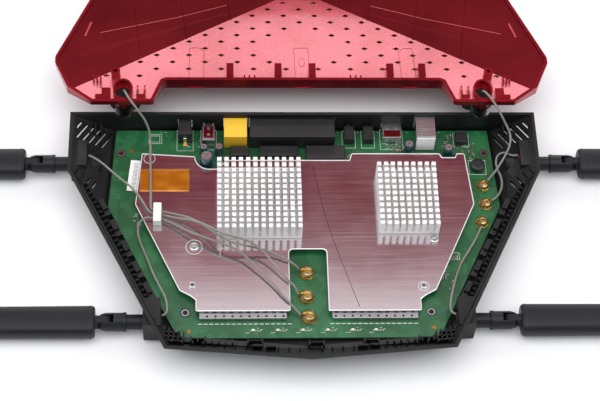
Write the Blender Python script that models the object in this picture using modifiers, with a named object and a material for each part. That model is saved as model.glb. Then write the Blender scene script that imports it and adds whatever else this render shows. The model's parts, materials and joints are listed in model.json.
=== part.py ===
"""Wireless router, opened: base tray with board, cover turned over behind it.

Design frame before the shift: X across, Y = 0 on the rear face of the tray with
the front towards -Y, Z = 0 on the surface the feet stand on. All sizes are in
millimetres and are turned to metres when a mesh is made.
"""
import bpy
import bmesh
from math import ceil, cos, pi, radians, sin
from mathutils import Matrix, Vector

MM = 0.001
GAP = 0.3                      # clearance between pieces that touch

# ---- base tray ---------------------------------------------------------------
RIM_HALF = 158.0               # half width of the rim
RIM_SIDE_END = 47.0            # where the straight side of the rim stops
RIM_FRONT_HALF = 92.0          # half width of the front edge
RIM_FRONT_CORNER = 180.0       # depth at the front corners
TRAY_DEPTH = 188.0             # depth at the point of the front edge
RIM_Z = 26.0
TRAY_BOTTOM_Z = 2.0
WALL = 2.2
FLOOR = 2.0
FLOOR_INSET = 0.7              # the floor's inner edge, as a share of the wall's thickness
FOOT_R = 6.0

# ---- circuit board -----------------------------------------------------------
BOARD_REAR_HALF = 127.5
BOARD_WAIST_HALF = 131.5
BOARD_WAIST = 65.0             # depth of the widest place
BOARD_FRONT_HALF = 84.0
BOARD_FRONT = 163.5            # depth of the front edge
BOARD_THICK = 1.6
BOARD_TOP = 8.0
BOARD_EDGE_GAP = 2.5           # board edge to the tray floor's edge
BOARD_HOLE_R = 1.9
POST_R = 3.4
REAR_POST = (124.0, 21.8)      # half spacing and depth of the rear posts
FRONT_POST = (79.5, 145.0)

# ---- shield can, heat plate and heatsinks --------------------------------------
PLATE_THICK = 1.4
CAN_HEIGHT = 3.2
CAN_INSET = 2.0
CAN_LIP = 4.5                  # the can shows in front of the plate by this much
HEATSINK_BASE = 2.0
PIN = 2.9                      # side of a square pin
LARGE_SINK = (-31.0, -65.5, 55.7, 54.8, 12.7, 12, 13)   # x, y, width, depth, pin height, columns, rows
SMALL_SINK = (67.9, -65.0, 39.5, 49.0, 10.7, 9, 11)

# ---- cover, turned over --------------------------------------------------------
COVER_HEIGHT = 38.0
COVER_HALF = 169.0
COVER_DEPTH = 190.0
COVER_FRONT_HALF = 106.0
COVER_FRONT_CORNER = 182.0
COVER_SIDE = (33.0, 38.0)      # the widest stretch, along Y
COVER_CORNER = (160.0, 12.8)   # outer end of the corner chamfer
LOBE_OUT = 143.5
LOBE_IN = 103.8
RECESS_HALF = 93.2
RECESS = 18.2                  # how far the middle of the rear edge is set back
PEAK = (16.0, 116.5, 140.0)    # flat at the peak: half width, rear edge, front point
SKIRT = 4.0                    # upright rim of the cover
COVER_WALL = 2.2
HOLE_W = 5.0
HOLE_D = 3.6
HOLE_PITCH_X = 22.4
HOLE_PITCH_Y = 7.6
HOLE_ROWS = 13
HOLE_FIRST_Y = 29.1
BLANK_HALF = (39.5, 30.0)      # diamond without holes in the middle of the panel
BLANK_ROW = 4

# ---- antennas ------------------------------------------------------------------
ANT_Z = 9.0                    # height of the antennas' line when they lie down
SHAFT_R = 4.9
BORE_R = 5.2
SOCKET_R = 6.8
SIDE_SHAFT_IN = 10.0           # length of shaft inside the tray's sockets
COVER_SHAFT_IN = 4.5           # length of shaft inside the cover's bosses
RING_R = 6.3
RING_W = 2.0
FORK_R = 6.0
RING_TO_PIVOT = 11.0
SLOT_W = 5.6
TONGUE_W = 5.0
TONGUE_R = 4.5
PIN_R = 1.5
TONGUE_OUT = 7.0               # pivot to the paddle's end face
PADDLE_L = 140.0
PADDLE_W = 21.0
PADDLE_T = 13.0
SIDE_SHAFT = 11.0              # shaft showing on the tray's antennas
COVER_SHAFT = 5.5              # shaft showing on the cover's antennas
SOCKETS = {"rear": (31.0, 1.0, 20.0), "front": (152.0, -0.1, 11.7)}    # depth, set back and length
BLOCK = (11.0, 20.0, 3.0, 23.0)       # flat faced block at a socket: width, depth, bottom and top
COVER_BOSS = (122.4, 10.6)
BOSS_FACE_Z = ANT_Z + RING_TO_PIVOT + RING_W + COVER_SHAFT
BOSS_LONG = 1.3                # the boss is longer than wide by this factor
CUP_WALL = 1.5
CUP_FLOOR_Z = BOSS_FACE_Z + COVER_SHAFT_IN

LEAD_D = 1.5

board_base = BOARD_TOP + GAP
can_top = board_base + CAN_HEIGHT
plate_z = can_top + GAP
plate_top = plate_z + PLATE_THICK
sink_z = plate_top + GAP
FRAME_Y = (TRAY_DEPTH - COVER_DEPTH) / 2      # puts the origin at the middle of the box

# ---- scene, materials and small helpers -----------------------------------------


def clear_scene():
    for obj in list(bpy.data.objects):
        bpy.data.objects.remove(obj, do_unlink=True)


def new_collection(name):
    group = bpy.data.collections.new(name)
    bpy.context.scene.collection.children.link(group)
    return group


clear_scene()
PARTS = new_collection("wireless_router")
CUTTERS = new_collection("cutters")
ROOT = bpy.data.objects.new("router_frame", None)
PARTS.objects.link(ROOT)
ROOT.location = (0.0, FRAME_Y * MM, 0.0)


def material(name, color, rough, metal=0.0):
    mat = bpy.data.materials.new(name)
    mat.use_nodes = True
    shader = mat.node_tree.nodes["Principled BSDF"]
    shader.inputs["Base Color"].default_value = (*color, 1.0)
    shader.inputs["Roughness"].default_value = rough
    shader.inputs["Metallic"].default_value = metal
    return mat


BLACK = material("black_abs", (0.028, 0.028, 0.03), 0.55)
RED = material("metallic_red_paint", (0.50, 0.02, 0.035), 0.28, 0.4)
GREEN = material("solder_mask", (0.02, 0.20, 0.07), 0.4)
ALUMINIUM = material("brushed_aluminium", (0.74, 0.73, 0.74), 0.3, 1.0)
SINK = material("anodised_aluminium", (0.86, 0.86, 0.86), 0.4, 1.0)
STEEL = material("nickel_plate", (0.66, 0.66, 0.66), 0.3, 1.0)
DARK = material("dark_nylon", (0.03, 0.03, 0.035), 0.5)
YELLOW = material("yellow_nylon", (0.85, 0.62, 0.03), 0.45)
TEAL = material("capacitor_sleeve", (0.02, 0.28, 0.30), 0.35)
WHITE = material("white_nylon", (0.85, 0.85, 0.82), 0.45)
AMBER = material("amber_resin", (0.65, 0.42, 0.05), 0.2)
GREY = material("grey_jacket", (0.36, 0.35, 0.34), 0.45)
RUBBER = material("foot_rubber", (0.04, 0.04, 0.04), 0.8)


def finish(obj, mat, group=None):
    """Link an object under the frame, give it its material and shade it."""
    (group or PARTS).objects.link(obj)
    obj.parent = ROOT
    obj.data.materials.append(mat)
    if obj.type == "MESH":
        obj.data.shade_smooth()
        obj.data.set_sharp_from_angle(angle=radians(35))
    if group is CUTTERS:
        obj.hide_render = True
        obj.display_type = "WIRE"
    return obj


def mesh_object(name, bm, mat, group=None):
    bmesh.ops.scale(bm, vec=(MM, MM, MM), verts=bm.verts)
    mesh = bpy.data.meshes.new(name)
    bm.to_mesh(mesh)
    bm.free()
    return finish(bpy.data.objects.new(name, mesh), mat, group)


def add_box(bm, size, centre, turn=0.0):
    made = bmesh.ops.create_cube(bm, size=1.0)
    place = Matrix.Translation(centre) @ Matrix.Rotation(turn, 4, "Z") @ Matrix.Diagonal((*size, 1.0))
    bmesh.ops.transform(bm, matrix=place, verts=made["verts"])


def add_cylinder(bm, radius, length, centre, axis="Z", sides=24, top_radius=None):
    turn = {"X": Matrix.Rotation(pi / 2, 4, "Y"), "Y": Matrix.Rotation(-pi / 2, 4, "X"), "Z": Matrix()}[axis]
    bmesh.ops.create_cone(
        bm, cap_ends=True, segments=sides, radius1=radius, radius2=radius if top_radius is None else top_radius,
        depth=length, matrix=Matrix.Translation(centre) @ turn,
    )


def add_prism(bm, outline, width):
    """An outline in X and Z, given a width along Y."""
    face = bm.faces.new([bm.verts.new((x, -width / 2, z)) for x, z in outline])
    made = bmesh.ops.extrude_face_region(bm, geom=[face])
    moved = [item for item in made["geom"] if isinstance(item, bmesh.types.BMVert)]
    bmesh.ops.translate(bm, verts=moved, vec=(0, width, 0))
    bmesh.ops.recalc_face_normals(bm, faces=bm.faces)


def box(name, size, centre, mat, group=None):
    bm = bmesh.new()
    add_box(bm, size, centre)
    return mesh_object(name, bm, mat, group)


def box_between(name, low, high, mat, group=None):
    size = [b - a for a, b in zip(low, high)]
    centre = [(a + b) / 2 for a, b in zip(low, high)]
    return box(name, size, centre, mat, group)


def group_of(name, adder, rows, group=CUTTERS):
    """One helper object that holds several primitives, one for each row."""
    bm = bmesh.new()
    for row in rows:
        adder(bm, *row)
    return mesh_object(name, bm, DARK, group)


def boolean(obj, other, operation):
    mod = obj.modifiers.new(other.name, "BOOLEAN")
    mod.operation = operation
    mod.solver = "EXACT"
    mod.object = other


def cut(obj, other):
    boolean(obj, other, "DIFFERENCE")


def join(obj, other):
    boolean(obj, other, "UNION")


def soften(obj, width, segments=1):
    mod = obj.modifiers.new("edge_break", "BEVEL")
    mod.width = width * MM
    mod.segments = segments
    mod.limit_method = "ANGLE"


def flat_outline(name, points, low, high, mat, group=None):
    """A plate of any outline, from a filled flat curve made a mesh."""
    curve = bpy.data.curves.new(name, "CURVE")
    curve.dimensions = "2D"
    curve.fill_mode = "BOTH"
    curve.extrude = (high - low) / 2 * MM
    spline = curve.splines.new("POLY")
    spline.points.add(len(points) - 1)
    for point, (x, y) in zip(spline.points, points):
        point.co = (x * MM, y * MM, 0.0, 1.0)
    spline.use_cyclic_u = True
    guide = bpy.data.objects.new(name + "_curve", curve)
    CUTTERS.objects.link(guide)
    bpy.context.view_layer.update()
    evaluated = guide.evaluated_get(bpy.context.evaluated_depsgraph_get())
    mesh = bpy.data.meshes.new_from_object(evaluated)
    bpy.data.objects.remove(guide, do_unlink=True)
    bm = bmesh.new()
    bm.from_mesh(mesh)
    bmesh.ops.remove_doubles(bm, verts=bm.verts, dist=1e-6)
    bmesh.ops.translate(bm, verts=bm.verts, vec=(0, 0, (low + high) / 2 * MM))
    bmesh.ops.recalc_face_normals(bm, faces=bm.faces)
    bm.to_mesh(mesh)
    bm.free()
    mesh.materials.clear()
    return finish(bpy.data.objects.new(name, mesh), mat, group)


def turned(name, profile, mat, centre=(0, 0, 0), turn=None, steps=20, group=None):
    """A profile of (radius, height) from the top to the bottom, turned about Z."""
    bm = bmesh.new()
    verts = [bm.verts.new((r * MM, 0, z * MM)) for r, z in profile]
    for a, b in zip(verts, verts[1:]):
        bm.edges.new((a, b))
    mesh = bpy.data.meshes.new(name)
    bm.to_mesh(mesh)
    bm.free()
    obj = finish(bpy.data.objects.new(name, mesh), mat, group)
    mod = obj.modifiers.new("turn", "SCREW")
    mod.steps = steps
    mod.render_steps = steps
    mod.use_merge_vertices = True
    mod.merge_threshold = 1e-5
    mod.use_smooth_shade = True
    obj.location = Vector(centre) * MM
    if turn:
        obj.rotation_euler = turn
    return obj


def mirrored(half):
    """The right half of an outline, rear to front, completed on the left."""
    return half + [(-x, y) for x, y in reversed(half) if abs(x) > 1e-9]


def inset(points, distance):
    """Move every edge of a clockwise outline inwards by the same distance."""
    result = []
    count = len(points)
    for i in range(count):
        before = Vector(points[i - 1])
        here = Vector(points[i])
        after = Vector(points[(i + 1) % count])
        first = (here - before).normalized()
        second = (after - here).normalized()
        normal_a = Vector((first.y, -first.x))
        normal_b = Vector((second.y, -second.x))
        middle = (normal_a + normal_b).normalized()
        result.append(tuple(here + middle * distance / max(middle.dot(normal_a), 0.3)))
    return result


def loft(name, loops, mat):
    """Skin between outlines that have the same number of points."""
    bm = bmesh.new()
    rings = [[bm.verts.new(point) for point in loop] for loop in loops]
    for low, high in zip(rings, rings[1:]):
        count = len(low)
        for i in range(count):
            j = (i + 1) % count
            bm.faces.new((low[i], low[j], high[j], high[i]))
    bmesh.ops.triangulate(bm, faces=bm.faces)
    bm.faces.new(rings[0])
    bm.faces.new(rings[-1])
    bmesh.ops.recalc_face_normals(bm, faces=bm.faces)
    return mesh_object(name, bm, mat)


def at_height(points, z):
    return [(x, y, z) for x, y in points]


# ---- base tray ---------------------------------------------------------------


def rim_outline():
    return mirrored([
        (RIM_HALF, 0.0), (RIM_HALF, -RIM_SIDE_END), (RIM_FRONT_HALF, -RIM_FRONT_CORNER), (0.0, -TRAY_DEPTH),
    ])


def floor_outline():
    gap = BOARD_EDGE_GAP
    return mirrored([
        (BOARD_REAR_HALF + gap, 0.0), (BOARD_WAIST_HALF + gap, -BOARD_WAIST),
        (BOARD_FRONT_HALF + gap, -BOARD_FRONT - gap), (0.0, -BOARD_FRONT - 2 * gap),
    ])


VENT_W = 1.4
VENT_ANGLE = radians(65)
VENT_Z = (4.6, 23.8)           # the slots stop short of the floor and of the rim


def vent_slots():
    """Slanted cooling slots in the flared hull: rear corners, then the sides."""
    rows = []
    for i in range(6):
        rows.append((RIM_HALF - 4.2 - 3.9 * i, -12.0, 15.5))
    for i in range(4):
        rows.append((RIM_HALF - 6.0 - 3.6 * i, -46.5 - 1.2 * i, 7.0))
    for i in range(9):
        y = -RIM_SIDE_END - 16.0 - 8.8 * i
        rim = rim_half_at(-y)
        floor = BOARD_WAIST_HALF + BOARD_EDGE_GAP + (BOARD_FRONT_HALF - BOARD_WAIST_HALF) * (
            (y + BOARD_WAIST) / (BOARD_WAIST - BOARD_FRONT))
        rows.append(((rim + floor) / 2, y, 8.5))
    bm = bmesh.new()
    low, high = VENT_Z
    for x, y, length in rows:
        for side in (-1, 1):
            turn = VENT_ANGLE if side < 0 else pi - VENT_ANGLE
            add_box(bm, (length, VENT_W, high - low), (side * x, y, (low + high) / 2), turn)
    return mesh_object("vent_cutter", bm, DARK, CUTTERS)


def rim_half_at(depth):
    """Half width of the rim at a depth behind which its side slants in."""
    slant = max(0.0, depth - RIM_SIDE_END) / (RIM_FRONT_CORNER - RIM_SIDE_END)
    return RIM_HALF + (RIM_FRONT_HALF - RIM_HALF) * slant


def sockets():
    """Name, side, depth, outer end and inner end of the four antenna sockets."""
    rows = []
    for name, (depth, back, length) in SOCKETS.items():
        outer = rim_half_at(depth) - back
        rows.append(("left_" + name, -1, depth, outer, outer - length))
        rows.append(("right_" + name, 1, depth, outer, outer - length))
    return rows


def base_tray():
    outer_low = floor_outline()
    outer_high = rim_outline()
    tray = loft("base_tray", [
        at_height(outer_low, TRAY_BOTTOM_Z), at_height(outer_high, RIM_Z),
        at_height(inset(outer_high, WALL), RIM_Z),
        at_height(inset(outer_low, WALL * FLOOR_INSET), TRAY_BOTTOM_Z + FLOOR),
    ], BLACK)
    tubes = [
        (SOCKET_R, outer - inner - 2, (side * ((outer + inner) / 2 - 1), -depth, ANT_Z), "X")
        for _, side, depth, outer, inner in sockets()
    ]
    bore_length = SIDE_SHAFT_IN + GAP + 2
    bores = [
        (BORE_R, bore_length, (side * (outer + 2 - bore_length / 2), -depth, ANT_Z), "X")
        for _, side, depth, outer, _ in sockets()
    ]
    width, deep, low, high = BLOCK
    blocks = [
        ((width, deep, high - low), (side * (outer - width / 2), -depth, (low + high) / 2))
        for _, side, depth, outer, _ in sockets()
    ]
    post_low = TRAY_BOTTOM_Z + FLOOR / 2
    post_high = BOARD_TOP - BOARD_THICK - GAP
    posts = [
        (POST_R, post_high - post_low, (side * x, -y, (post_low + post_high) / 2), "Z", 16)
        for x, y in (REAR_POST, FRONT_POST) for side in (-1, 1)
    ]
    join(tray, group_of("socket_blocks", add_box, blocks))
    join(tray, group_of("socket_tubes", add_cylinder, tubes))
    join(tray, group_of("board_posts", add_cylinder, posts))
    cut(tray, group_of("socket_bores", add_cylinder, bores))
    cut(tray, vent_slots())
    saddles = [(SOCKET_R - 1.5, 4 * WALL, (side * COVER_BOSS[0], 0, RIM_Z), "Y", 20) for side in (-1, 1)]
    cut(tray, group_of("boss_saddles", add_cylinder, saddles))
    cut(tray, group_of("port_cutouts", add_box, port_cutouts()))
    cut(tray, group_of("round_cutouts", add_cylinder, round_cutouts()))


def rubber_feet():
    places = {
        "rear_left": (-100, -14), "rear_right": (100, -14),
        "front_left": (-72, -150), "front_right": (72, -150),
    }
    for name, (x, y) in places.items():
        bm = bmesh.new()
        add_cylinder(bm, FOOT_R, TRAY_BOTTOM_Z - GAP, (x, y, (TRAY_BOTTOM_Z - GAP) / 2), "Z", 20)
        mesh_object("foot_" + name, bm, RUBBER)


# ---- circuit board and what stands on it ---------------------------------------


def circuit_board():
    outline = mirrored([
        (BOARD_REAR_HALF, -WALL - 0.8), (BOARD_WAIST_HALF, -BOARD_WAIST), (BOARD_FRONT_HALF, -BOARD_FRONT),
    ])
    board = flat_outline("circuit_board", outline, BOARD_TOP - BOARD_THICK, BOARD_TOP, GREEN)
    holes = [
        (BOARD_HOLE_R, 3 * BOARD_THICK, (side * x, -y, BOARD_TOP), "Z", 16)
        for x, y in (REAR_POST, FRONT_POST) for side in (-1, 1)
    ]
    cut(board, group_of("board_holes", add_cylinder, holes))


# Connectors: x centre, width, height and depth behind the tray's rear face.
FACE_OUT = 0.5                 # the connectors' faces stand out of the rear wall
JACKS = {
    "wan_jack": (-46.4, 15.6, 13.3, 17.5, YELLOW),
    "lan_jack_block": (-7.8, 58.0, 13.3, 17.5, DARK),
}
LAN_PORTS = 4
JACK_HOLE = (11.8, 8.6, 13.5)  # width, height and depth of a plug's opening
JACK_HOLE_LIFT = 1.6
USB = {"usb_port": (60.8, 7.0, 13.5, 1), "usb_port_stacked": (83.1, 15.6, 19.0, 2)}
USB_W = 13.2
USB_HOLE = (12.2, 5.2, 11.5)
USB_TONGUE = (11.0, 1.8)
DC_JACK = (-80.7, 9.0, 11.0, 13.7)
DC_HOLE_R = 3.1
DC_HOLE_DEEP = 10.5
DC_PIN_R = 1.0
POWER = (-64.7, 8.6, 8.8, 12.0)
POWER_CAP = (6.0, 5.0)
POWER_TRAVEL = 1.5
TACTS = {"wps": (31.5, 2.2, 2.2), "reset": (44.6, 1.3, -0.6)}    # x, button radius, how far it stands out
TACT_W = 7.0
TACT_H = 6.4
TACT_DEPTH = 11.0
TACT_TRAVEL = 0.5
BUTTON_Z = board_base + TACT_H / 2
POWER_Z = board_base + POWER[2] / 2


def opening(x, width, height):
    """A cut in the rear wall round a connector that stands on the board."""
    low = board_base - GAP
    high = board_base + height + GAP
    return ((width + 2 * GAP, 4 * WALL, high - low), (x, 0.0, (low + high) / 2))


def port_cutouts():
    rows = [opening(x, w, h) for x, w, h, _, _ in JACKS.values()]
    rows += [opening(x, USB_W, h) for x, h, _, _ in USB.values()]
    rows.append(opening(DC_JACK[0], DC_JACK[1], DC_JACK[2]))
    rows.append(((POWER_CAP[0] + 2 * GAP, 4 * WALL, POWER_CAP[1] + 2 * GAP), (POWER[0], 0.0, POWER_Z)))
    return rows


def round_cutouts():
    return [(r + GAP, 4 * WALL, (x, 0.0, BUTTON_Z), "Y", 20) for x, r, _ in TACTS.values()]


def network_jacks():
    for name, (x, width, height, depth, mat) in JACKS.items():
        jack = box_between(
            name, (x - width / 2, -depth, board_base), (x + width / 2, FACE_OUT, board_base + height), mat)
        ports = LAN_PORTS if name.startswith("lan") else 1
        pitch = width / ports
        holes = []
        for i in range(ports):
            centre = x - width / 2 + pitch * (i + 0.5)
            z = board_base + JACK_HOLE_LIFT + JACK_HOLE[1] / 2
            y = FACE_OUT + 1.0 - (JACK_HOLE[2] + 1.0) / 2
            holes.append(((JACK_HOLE[0], JACK_HOLE[2] + 1.0, JACK_HOLE[1]), (centre, y, z)))
        cut(jack, group_of(name + "_holes", add_box, holes))


def usb_ports():
    for name, (x, height, depth, levels) in USB.items():
        port = box_between(
            name, (x - USB_W / 2, -depth, board_base), (x + USB_W / 2, FACE_OUT, board_base + height), STEEL)
        pitch = height / levels
        holes = []
        tongues = []
        for i in range(levels):
            z = board_base + pitch * (i + 0.5)
            y = FACE_OUT + 1.0 - (USB_HOLE[2] + 1.0) / 2
            holes.append(((USB_HOLE[0], USB_HOLE[2] + 1.0, USB_HOLE[1]), (x, y, z)))
            tongue = (USB_TONGUE[0], USB_HOLE[2] - 1.0, USB_TONGUE[1])
            tongues.append((tongue, (x, FACE_OUT - 2.0 - tongue[1] / 2, z + 0.8)))
        cut(port, group_of(name + "_holes", add_box, holes))
        join(port, group_of(name + "_tongues", add_box, tongues))


def power_inlet():
    x, width, height, depth = DC_JACK
    jack = box_between(
        "dc_jack", (x - width / 2, -depth, board_base), (x + width / 2, FACE_OUT, board_base + height), DARK)
    z = board_base + height / 2
    hole = [(DC_HOLE_R, 2 * DC_HOLE_DEEP, (x, FACE_OUT, z), "Y", 20)]
    pin = [(DC_PIN_R, DC_HOLE_DEEP - 0.5, (x, FACE_OUT - DC_HOLE_DEEP + 4.0, z), "Y", 12)]
    cut(jack, group_of("dc_hole", add_cylinder, hole))
    join(jack, group_of("dc_pin", add_cylinder, pin))


def switches():
    x, width, height, depth = POWER
    front = -WALL - GAP - POWER_TRAVEL - 1.0
    box_between("power_switch", (x - width / 2, front - depth, board_base),
                (x + width / 2, front, board_base + height), STEEL)
    back = front + GAP + POWER_TRAVEL
    button = box_between("power_button", (x - POWER_CAP[0] / 2, back, POWER_Z - POWER_CAP[1] / 2),
                         (x + POWER_CAP[0] / 2, 2.5, POWER_Z + POWER_CAP[1] / 2), DARK)
    soften(button, 0.5)
    for name, (x, radius, out) in TACTS.items():
        front = -WALL - GAP - TACT_TRAVEL - 0.5
        box_between(name + "_switch", (x - TACT_W / 2, front - TACT_DEPTH, board_base),
                    (x + TACT_W / 2, front, board_base + TACT_H), DARK)
        back = front + GAP + TACT_TRAVEL
        bm = bmesh.new()
        add_cylinder(bm, radius, out - back, (x, (out + back) / 2, BUTTON_Z), "Y", 20)
        mesh_object(name + "_button", bm, DARK)


def small_components():
    boxes = {
        "magnetics_wan": (-43.6, -23.5, 13.0, 8.0, 6.0, DARK),
        "magnetics_left": (-17.0, -23.5, 26.6, 8.4, 6.0, DARK),
        "magnetics_right": (14.7, -24.6, 27.0, 11.0, 6.0, DARK),
        "inductor_rear": (109.0, -11.0, 8.6, 8.6, 4.5, DARK),
    }
    for name, (x, y, w, d, h, mat) in boxes.items():
        piece = box(name, (w, d, h), (x, y, board_base + h / 2), mat)
        soften(piece, 0.5)
    cans = {
        "capacitor_large": (-66.0, -31.6, 4.4, 12.0), "capacitor_left": (-68.0, -22.4, 2.6, 9.0),
        "capacitor_middle": (-57.6, -22.0, 2.9, 9.0), "capacitor_usb": (71.8, -20.6, 3.2, 10.0),
        "capacitor_right": (98.6, -23.4, 3.2, 10.0),
    }
    for name, (x, y, r, h) in cans.items():
        low = board_base
        high = low + h
        turned(name, [(0, high - 0.2), (r * 0.75, high - 0.2), (r * 0.8, high), (r, high - 0.5),
                      (r, low), (0, low)], TEAL, (x, y, 0), steps=20)
    turned("inductor_round", [(0, board_base + 4.6), (3.6, board_base + 4.6), (4.8, board_base + 3.8),
                              (4.8, board_base + 0.6), (4.0, board_base), (0, board_base)], DARK,
           (118.5, -33.5, 0), steps=20)


TERMINALS = {
    "terminal_centre_rear": (-0.5, -116.2, 5.4), "terminal_centre_middle": (-1.0, -133.9, 5.4),
    "terminal_centre_front": (0.0, -148.8, 5.4), "terminal_right_rear": (121.2, -48.3, 4.4),
    "terminal_right_middle": (121.8, -63.2, 4.4), "terminal_right_front": (118.0, -77.6, 4.4),
}
DOME_H = 3.6


def terminals():
    """Soldered lead ends under drops of resin."""
    for name, (x, y, r) in TERMINALS.items():
        ring = [(r * sin(pi / 2 * i / 5), board_base + DOME_H * cos(pi / 2 * i / 5)) for i in range(6)]
        turned(name, ring + [(0, board_base)], AMBER, (x, y, 0), steps=16)


# ---- shield can, heat plate and heatsinks ---------------------------------------

PLATE_REAR = 25.6
PLATE_REAR_MIDDLE = 31.0
PLATE_FRONT = 146.6
PLATE_HALF_REAR = 109.5
PLATE_HALF_WAIST = 113.0
PLATE_WAIST = 66.0
PLATE_STEP = (79.5, 134.5)     # end of the slanted side, half width and depth
PLATE_HALF_FRONT = 72.5
BAY_HALF = 12.6                # bay for the soldered leads
BAY_X = 0.4
BAY_REAR = 100.7
CAP_BAY_R = 10.0
CAP_BAY_X = -64.0


def arc(centre, radius, start, end, steps):
    step = (end - start) / steps
    return [(centre[0] + radius * cos(start + step * i), centre[1] + radius * sin(start + step * i))
            for i in range(steps + 1)]


def plate_outline(front):
    """Clockwise from the rear left corner."""
    bay_right = BAY_X + BAY_HALF
    bay_left = BAY_X - BAY_HALF
    points = [(-PLATE_HALF_REAR, -PLATE_REAR)]
    points += arc((CAP_BAY_X, -PLATE_REAR - 2.5), CAP_BAY_R, pi, 3 * pi / 2, 6)
    points += [(CAP_BAY_X + 5.0, -PLATE_REAR - 12.5), (CAP_BAY_X + 12.0, -PLATE_REAR_MIDDLE)]
    points += [(31.0, -PLATE_REAR_MIDDLE), (32.5, -PLATE_REAR)]
    points += [(92.5, -PLATE_REAR), (94.0, -28.8), (103.2, -28.8), (104.5, -PLATE_REAR)]
    points += [(PLATE_HALF_REAR, -PLATE_REAR), (PLATE_HALF_WAIST, -PLATE_WAIST),
               (PLATE_STEP[0] + 3.5, -PLATE_STEP[1] + 3),
               (PLATE_HALF_FRONT + 3.5, -PLATE_STEP[1] - 1), (PLATE_HALF_FRONT, -PLATE_STEP[1] - 4),
               (PLATE_HALF_FRONT, -front)]
    points += [(bay_right, -front)]
    points += arc((bay_right - 3, -BAY_REAR - 3), 3, 0, pi / 2, 3)
    points += arc((bay_left + 3, -BAY_REAR - 3), 3, pi / 2, pi, 3)
    points += [(bay_left, -front), (-PLATE_HALF_FRONT, -front), (-PLATE_HALF_FRONT, -PLATE_STEP[1] - 4),
               (-PLATE_HALF_FRONT - 3.5, -PLATE_STEP[1] - 1), (-PLATE_STEP[0] - 3.5, -PLATE_STEP[1] + 3),
               (-PLATE_HALF_WAIST, -PLATE_WAIST)]
    return points


def heat_spreader():
    flat_outline("heat_plate", plate_outline(PLATE_FRONT), plate_z, plate_top, ALUMINIUM)
    can = inset(plate_outline(PLATE_FRONT + CAN_LIP + CAN_INSET), CAN_INSET)
    flat_outline("shield_can", can, board_base, can_top, STEEL)


def heatsink(name, x, y, width, depth, height, columns, rows):
    """Square pins left standing by two sets of crossing saw cuts."""
    top = sink_z + HEATSINK_BASE + height
    sink = box_between(name, (x - width / 2, y - depth / 2, sink_z), (x + width / 2, y + depth / 2, top), SINK)
    pitch_x = (width - PIN) / (columns - 1)
    pitch_y = (depth - PIN) / (rows - 1)
    z = sink_z + HEATSINK_BASE + (height + 1) / 2
    along_y = [((pitch_x - PIN, depth + 2, height + 1), (x - width / 2 + PIN / 2 + pitch_x * (i + 0.5), y, z))
               for i in range(columns - 1)]
    along_x = [((width + 2, pitch_y - PIN, height + 1), (x, y - depth / 2 + PIN / 2 + pitch_y * (i + 0.5), z))
               for i in range(rows - 1)]
    cut(sink, group_of(name + "_cuts_y", add_box, along_y))
    cut(sink, group_of(name + "_cuts_x", add_box, along_x))


SINK_SCREWS = {"heatsink_screw_rear": (55.8, -36.6), "heatsink_screw_front": (84.5, -93.3)}


def screws():
    """Spring screws beside the small heatsink and the plate's own screw."""
    spots = {**SINK_SCREWS, "plate_screw": (-74.0, -99.0)}
    for name, (x, y) in spots.items():
        low = sink_z
        turned(name, [(0, low + 2.2), (1.2, low + 2.2), (2.1, low + 1.4), (2.1, low + 0.8), (2.9, low + 0.6),
                      (2.9, low), (0, low)], STEEL, (x, y, 0), steps=16)


# ---- cover -----------------------------------------------------------------------


def cover_outline():
    """Rear points from the left corner to the right one, then the rest of the way round."""
    right = [
        (RECESS_HALF, RECESS), (RECESS_HALF + 2.2, RECESS - 1.0), (LOBE_IN - 2.2, GAP + 1.0), (LOBE_IN, GAP),
        (LOBE_OUT, GAP), COVER_CORNER,
    ]
    rear = [(-x, y) for x, y in reversed(right)] + right
    side = [(COVER_HALF, COVER_SIDE[0]), (COVER_HALF, COVER_SIDE[1]), (COVER_FRONT_HALF, COVER_FRONT_CORNER)]
    return len(rear), rear + side + [(0.0, COVER_DEPTH)] + [(-x, y) for x, y in reversed(side)]


def panel_z(y):
    """Height of the rear panel's outer face: it falls to the peak, which touches down."""
    return (COVER_HEIGHT - SKIRT) * (PEAK[1] - y) / PEAK[1]


def cover_skin(bm, outline, rear_count, lift):
    """The rear panel, the facets round it and the flat at the peak; returns the ring."""
    ring = [bm.verts.new((x, y, lift + (panel_z(y) if i < rear_count else COVER_HEIGHT - SKIRT)))
            for i, (x, y) in enumerate(outline)]
    left = bm.verts.new((-PEAK[0], PEAK[1], lift))
    right = bm.verts.new((PEAK[0], PEAK[1], lift))
    front = bm.verts.new((0.0, PEAK[2], lift))
    middle = rear_count + 3
    bm.faces.new([left] + ring[:rear_count] + [right])
    bm.faces.new((left, right, front))
    for i in range(rear_count - 1, middle - 1):
        bm.faces.new((right, ring[i], ring[i + 1]))
    for i in range(middle + 1, len(ring)):
        bm.faces.new((left, ring[i], ring[(i + 1) % len(ring)]))
    for corner, near in ((ring[middle - 1], right), (ring[middle + 1], left)):
        bm.faces.new((near, corner, front))
        bm.faces.new((front, corner, ring[middle]))
    return ring


def top_cover():
    rear_count, outline = cover_outline()
    inner = inset(outline[::-1], COVER_WALL)[::-1]
    bm = bmesh.new()
    rings = [cover_skin(bm, outline, rear_count, 0.0)]
    rings += [[bm.verts.new((x, y, COVER_HEIGHT)) for x, y in points] for points in (outline, inner)]
    rings.append(cover_skin(bm, inner, rear_count, COVER_WALL))
    for low, high in zip(rings, rings[1:]):
        for i in range(len(low)):
            j = (i + 1) % len(low)
            bm.faces.new((low[i], low[j], high[j], high[i]))
    bmesh.ops.recalc_face_normals(bm, faces=bm.faces)
    cover = mesh_object("top_cover", bm, RED)
    cover_bosses(cover)
    cover_details(cover)
    cut(cover, diamond_holes())


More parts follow.
